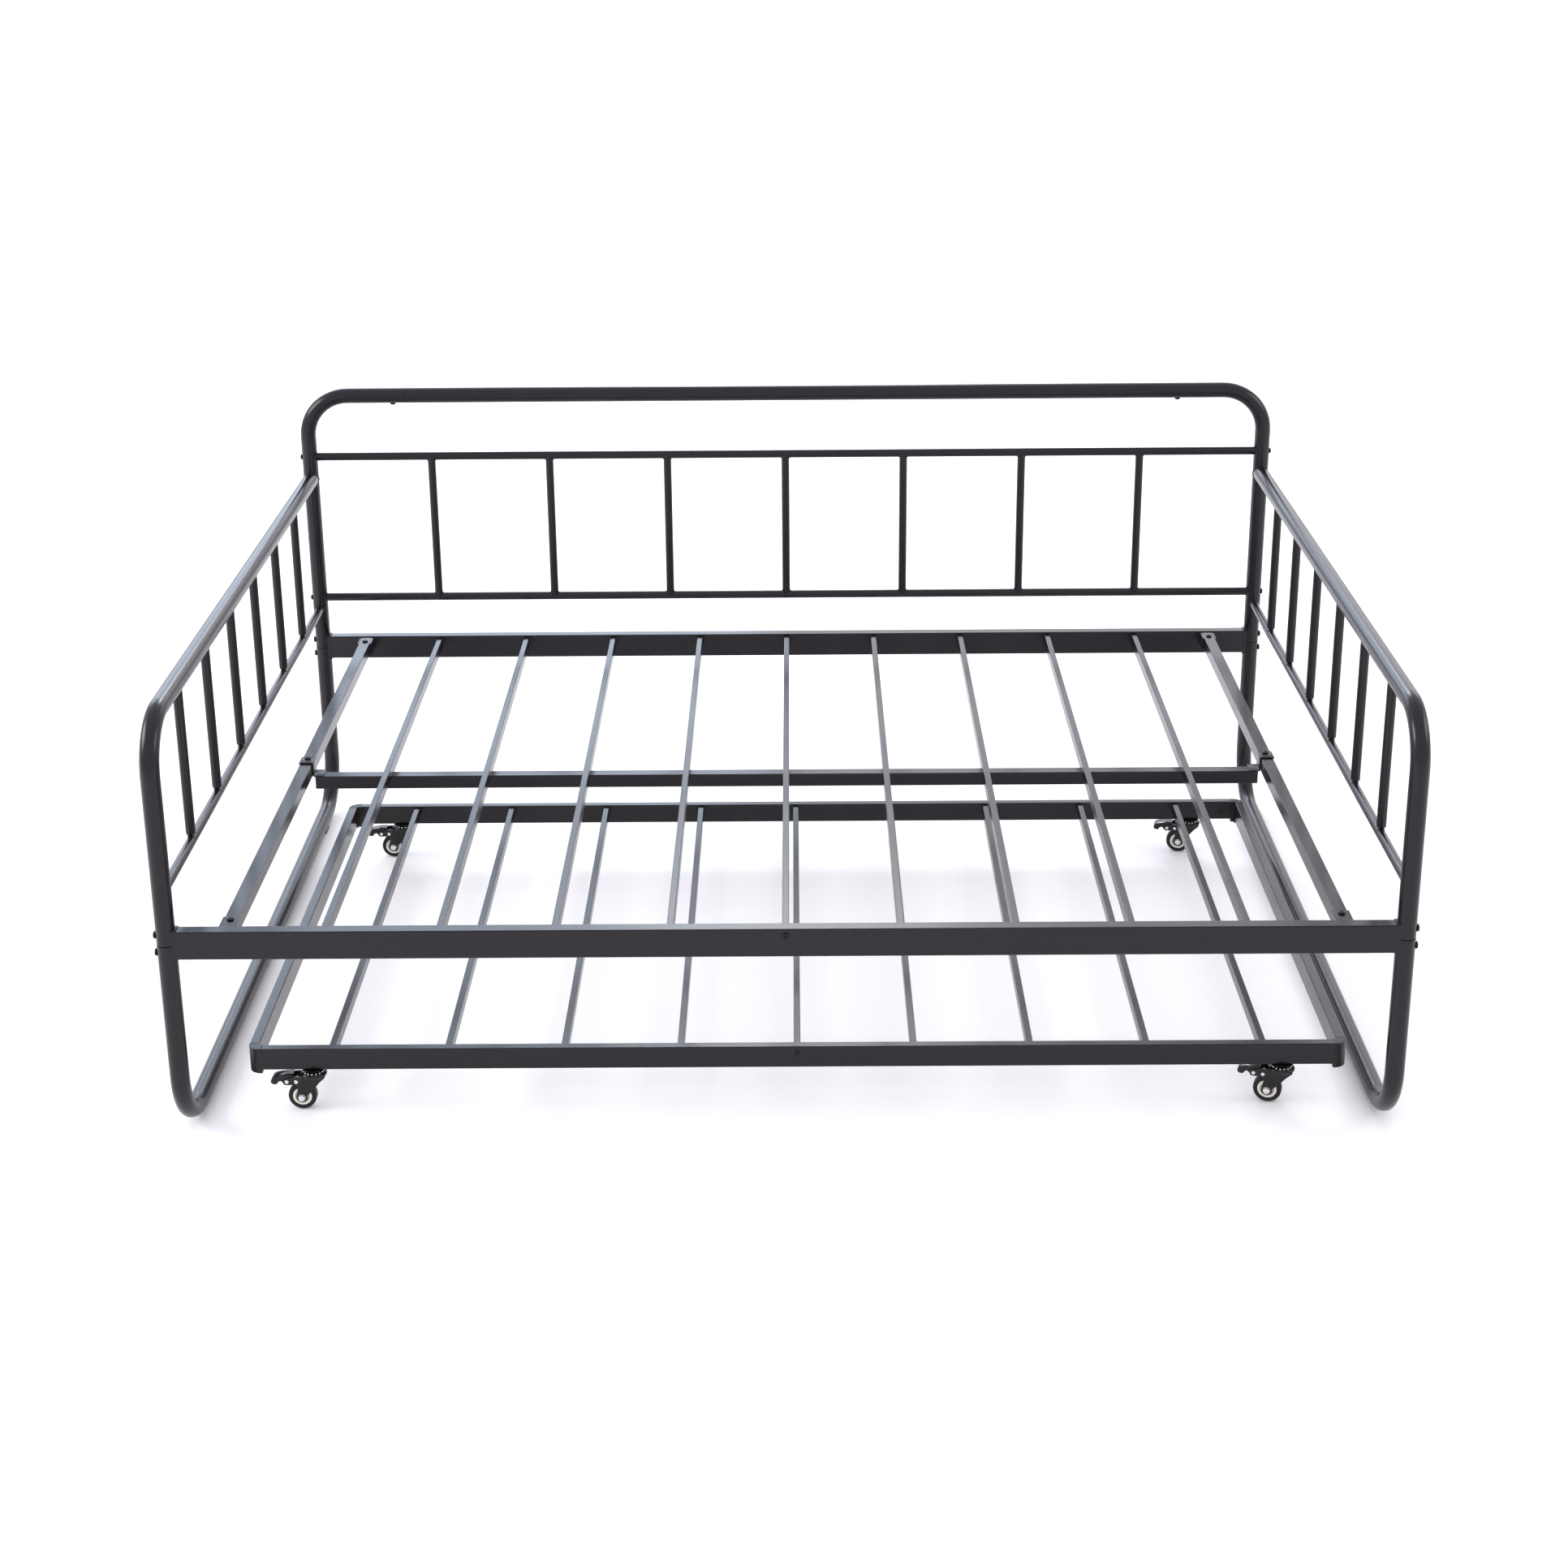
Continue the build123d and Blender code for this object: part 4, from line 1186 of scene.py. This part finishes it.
@dataclass
class CasterMounts:
    """The top cups and ball races between the trundle's rails and the casters.

    Attributes:
        balls: Balls in a race.
        race: Radius of the race, in millimetres.
        ball: Radius of a ball.
        level: Height of the race.
    """

    balls: int = 16
    race: float = 16.5
    ball: float = 1.75
    level: float = 68.6

    def build(self, bench: Bench, casters: list[Caster]) -> None:
        """Make all cups and all balls.

        Args:
            bench: Makes the pieces.
            casters: The casters that stand under them.
        """
        cups = []
        balls = []
        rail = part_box("trundle_front_rail")[0][2] / MM
        cup = [(0.0, rail - 0.1), (17.6, rail - 0.1), (18.2, rail - 0.6), (17.8, rail - 1.5), (14.4, 71.2),
               (13.9, 70.0), (13.4, 67.6), (7.6, 67.2), (7.4, 57.9), (6.6, 57.2), (0.0, 57.2)]
        for caster in casters:
            place = caster.stand()
            cups.append(placed(revolved(cup, 56), place))
            for i in range(self.balls):
                angle = math.tau * i / self.balls
                ball = bmesh.new()
                spot = (self.race * math.cos(angle), self.race * math.sin(angle), self.level)
                bmesh.ops.create_icosphere(ball, subdivisions=2, radius=self.ball,
                                           matrix=Matrix.Translation(spot))
                balls.append(placed(ball, place))
        bench.piece("caster_top_cups", cups, BODY_TRUNDLE, Slot.CASTER, ("caster_mount_plates",))
        bench.piece("race_balls", balls, BODY_TRUNDLE, Slot.ZINC, ("swivel_balls",))


# ------------ studio
@dataclass
class Viewpoint:
    """The camera.

    Attributes:
        place: Where it stands.
        right: Which way its right side points.
        up: Which way its top points.
        lens: Focal length, in millimetres.
        sensor: Width of its sensor.
        shift_up: Upward shift of the frame.
        reach: The farthest that it sees, in metres.
    """

    place: Triple = (0.0186, -4.1642, 2.1048)
    right: Triple = (0.999970, 0.002311, -0.007451)
    up: Triple = (0.006277, 0.328653, 0.944431)
    lens: float = 56.27
    sensor: float = 36.0
    shift_up: float = -0.1066
    reach: float = 200.0

    def build(self) -> bpy.types.Object:
        """Create the camera and make it the scene's camera.

        Returns:
            The camera.
        """
        data = bpy.data.cameras.new("camera")
        data.lens = self.lens
        data.sensor_width = self.sensor
        data.shift_y = self.shift_up
        data.clip_end = self.reach
        camera = bpy.data.objects.new("camera", data)
        across = Vector(self.right)
        upward = Vector(self.up)
        turned = Matrix((across, upward, across.cross(upward))).transposed()
        camera.matrix_world = Matrix.Translation(self.place) @ turned.to_4x4()
        bpy.context.collection.objects.link(camera)
        bpy.context.scene.camera = camera
        return camera


@dataclass(frozen=True)
class Softbox:
    """One rectangular studio light, aimed at a point.

    Attributes:
        name: Its name.
        place: Its centre.
        aim: The point that it faces.
        size: Its width and height.
        power: Its power in watts.
        colour: Its colour.
    """

    name: str
    place: Triple
    aim: Triple
    size: Point
    power: float
    colour: Triple = (1.0, 1.0, 1.0)

    def build(self) -> bpy.types.Object:
        """Create the light, unseen by the camera itself.

        Returns:
            The light.
        """
        data = bpy.data.lights.new(self.name, "AREA")
        data.shape = "RECTANGLE"
        data.size, data.size_y = self.size
        data.energy = self.power
        data.color = self.colour
        light = bpy.data.objects.new(self.name, data)
        light.location = self.place
        direction = Vector(self.aim) - Vector(self.place)
        light.rotation_euler = direction.to_track_quat("-Z", "Y").to_euler()
        light.visible_camera = False
        bpy.context.collection.objects.link(light)
        return light


@dataclass
class Studio:
    """A plain pale floor, an even sky and soft lights.

    Attributes:
        floor_size: Side of the square floor, in metres.
        floor_drop: How far it lies under the feet.
        floor_tone: Reflectance of the floor.
        sky: Strength of the even sky.
        sky_tint: Its colour.
        boxes: The soft lights.
    """

    floor_size: float = 120.0
    floor_drop: float = 0.0003
    floor_tone: float = 0.95
    sky: float = 1.08
    sky_tint: Triple = (1.0, 0.975, 1.03)
    boxes: tuple[Softbox, ...] = (
        Softbox("cool_back_box", (-2.9, 6.2, 3.4), (-2.9, 0.0, 0.4), (5.6, 3.6), 190.0, (0.64, 0.79, 1.0)),
        Softbox("back_box", (2.9, 6.2, 3.4), (2.9, 0.0, 0.4), (5.6, 3.6), 85.0, (0.88, 0.93, 1.0)),
        Softbox("back_strip", (0.0, 6.0, 4.9), (0.0, 0.0, 0.4), (1.4, 1.6), 90.0),
        Softbox("left_box", (-5.2, -0.6, 3.0), (0.0, 0.0, 0.5), (3.0, 2.0), 160.0),
        Softbox("right_box", (5.2, -0.6, 3.0), (0.0, 0.0, 0.5), (3.0, 2.0), 60.0),
    )

    def build(self) -> None:
        """Create the floor, the sky and the lights."""
        mesh = bpy.data.meshes.new("floor")
        sheet = bmesh.new()
        bmesh.ops.create_grid(sheet, x_segments=1, y_segments=1, size=self.floor_size / 2)
        bmesh.ops.translate(sheet, verts=sheet.verts, vec=(0.0, 0.0, -self.floor_drop))
        sheet.to_mesh(mesh)
        sheet.free()
        floor = bpy.data.objects.new("floor", mesh)
        bpy.context.collection.objects.link(floor)
        mesh.materials.append(self._floor_paint())
        self._sky()
        for box in self.boxes:
            box.build()
        bpy.context.scene.view_settings.view_transform = "Standard"

    def _floor_paint(self) -> bpy.types.Material:
        """Build the floor's plain matt paint.

        Returns:
            The material.
        """
        material = bpy.data.materials.new("floor_paint")
        material.use_nodes = True
        surface = material.node_tree.nodes["Principled BSDF"]
        surface.inputs["Base Color"].default_value = (*[self.floor_tone] * 3, 1.0)
        surface.inputs["Roughness"].default_value = 1.0
        surface.inputs["Specular IOR Level"].default_value = 0.0
        return material

    def _sky(self) -> None:
        """Build an even pale sky."""
        world = bpy.data.worlds.new("sky")
        bpy.context.scene.world = world
        world.use_nodes = True
        background = world.node_tree.nodes["Background"]
        background.inputs["Color"].default_value = (*self.sky_tint, 1.0)
        background.inputs["Strength"].default_value = self.sky


def main() -> None:
    """Load the frame, dress it, add the pieces that only show, and set the studio."""
    logging.basicConfig(level=logging.INFO, format="%(message)s")
    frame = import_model()
    wardrobe = Wardrobe(frame["record"])
    for name, node in frame["nodes"].items():
        wardrobe.dress_node(name, node)
    bench = Bench(wardrobe)
    for side in SIDES:
        SideFrame(side).build(bench)
    BackRest().build(bench)
    BeamCaps().build(bench)
    BeamHangers().build(bench)
    SlatBed("deck_slat_welds", "deck_slats", BODY_FRAME).build(bench)
    SlatBed("trundle_slat_welds", "trundle_slats", BODY_TRUNDLE, tack=(2.0, 2.4, 14.0)).build(bench)
    axes = {joint["name"]: Vector(joint["pos_m"]) for joint in frame["joints"] if "pos_m" in joint}
    casters = [Caster(corner, axes[f"{corner}_swivel_turn"]) for corner in CORNERS]
    for caster in casters:
        caster.build(bench)
    CasterMounts().build(bench, casters)
    Viewpoint().build()
    Studio().build()


if __name__ == "__main__":
    main()
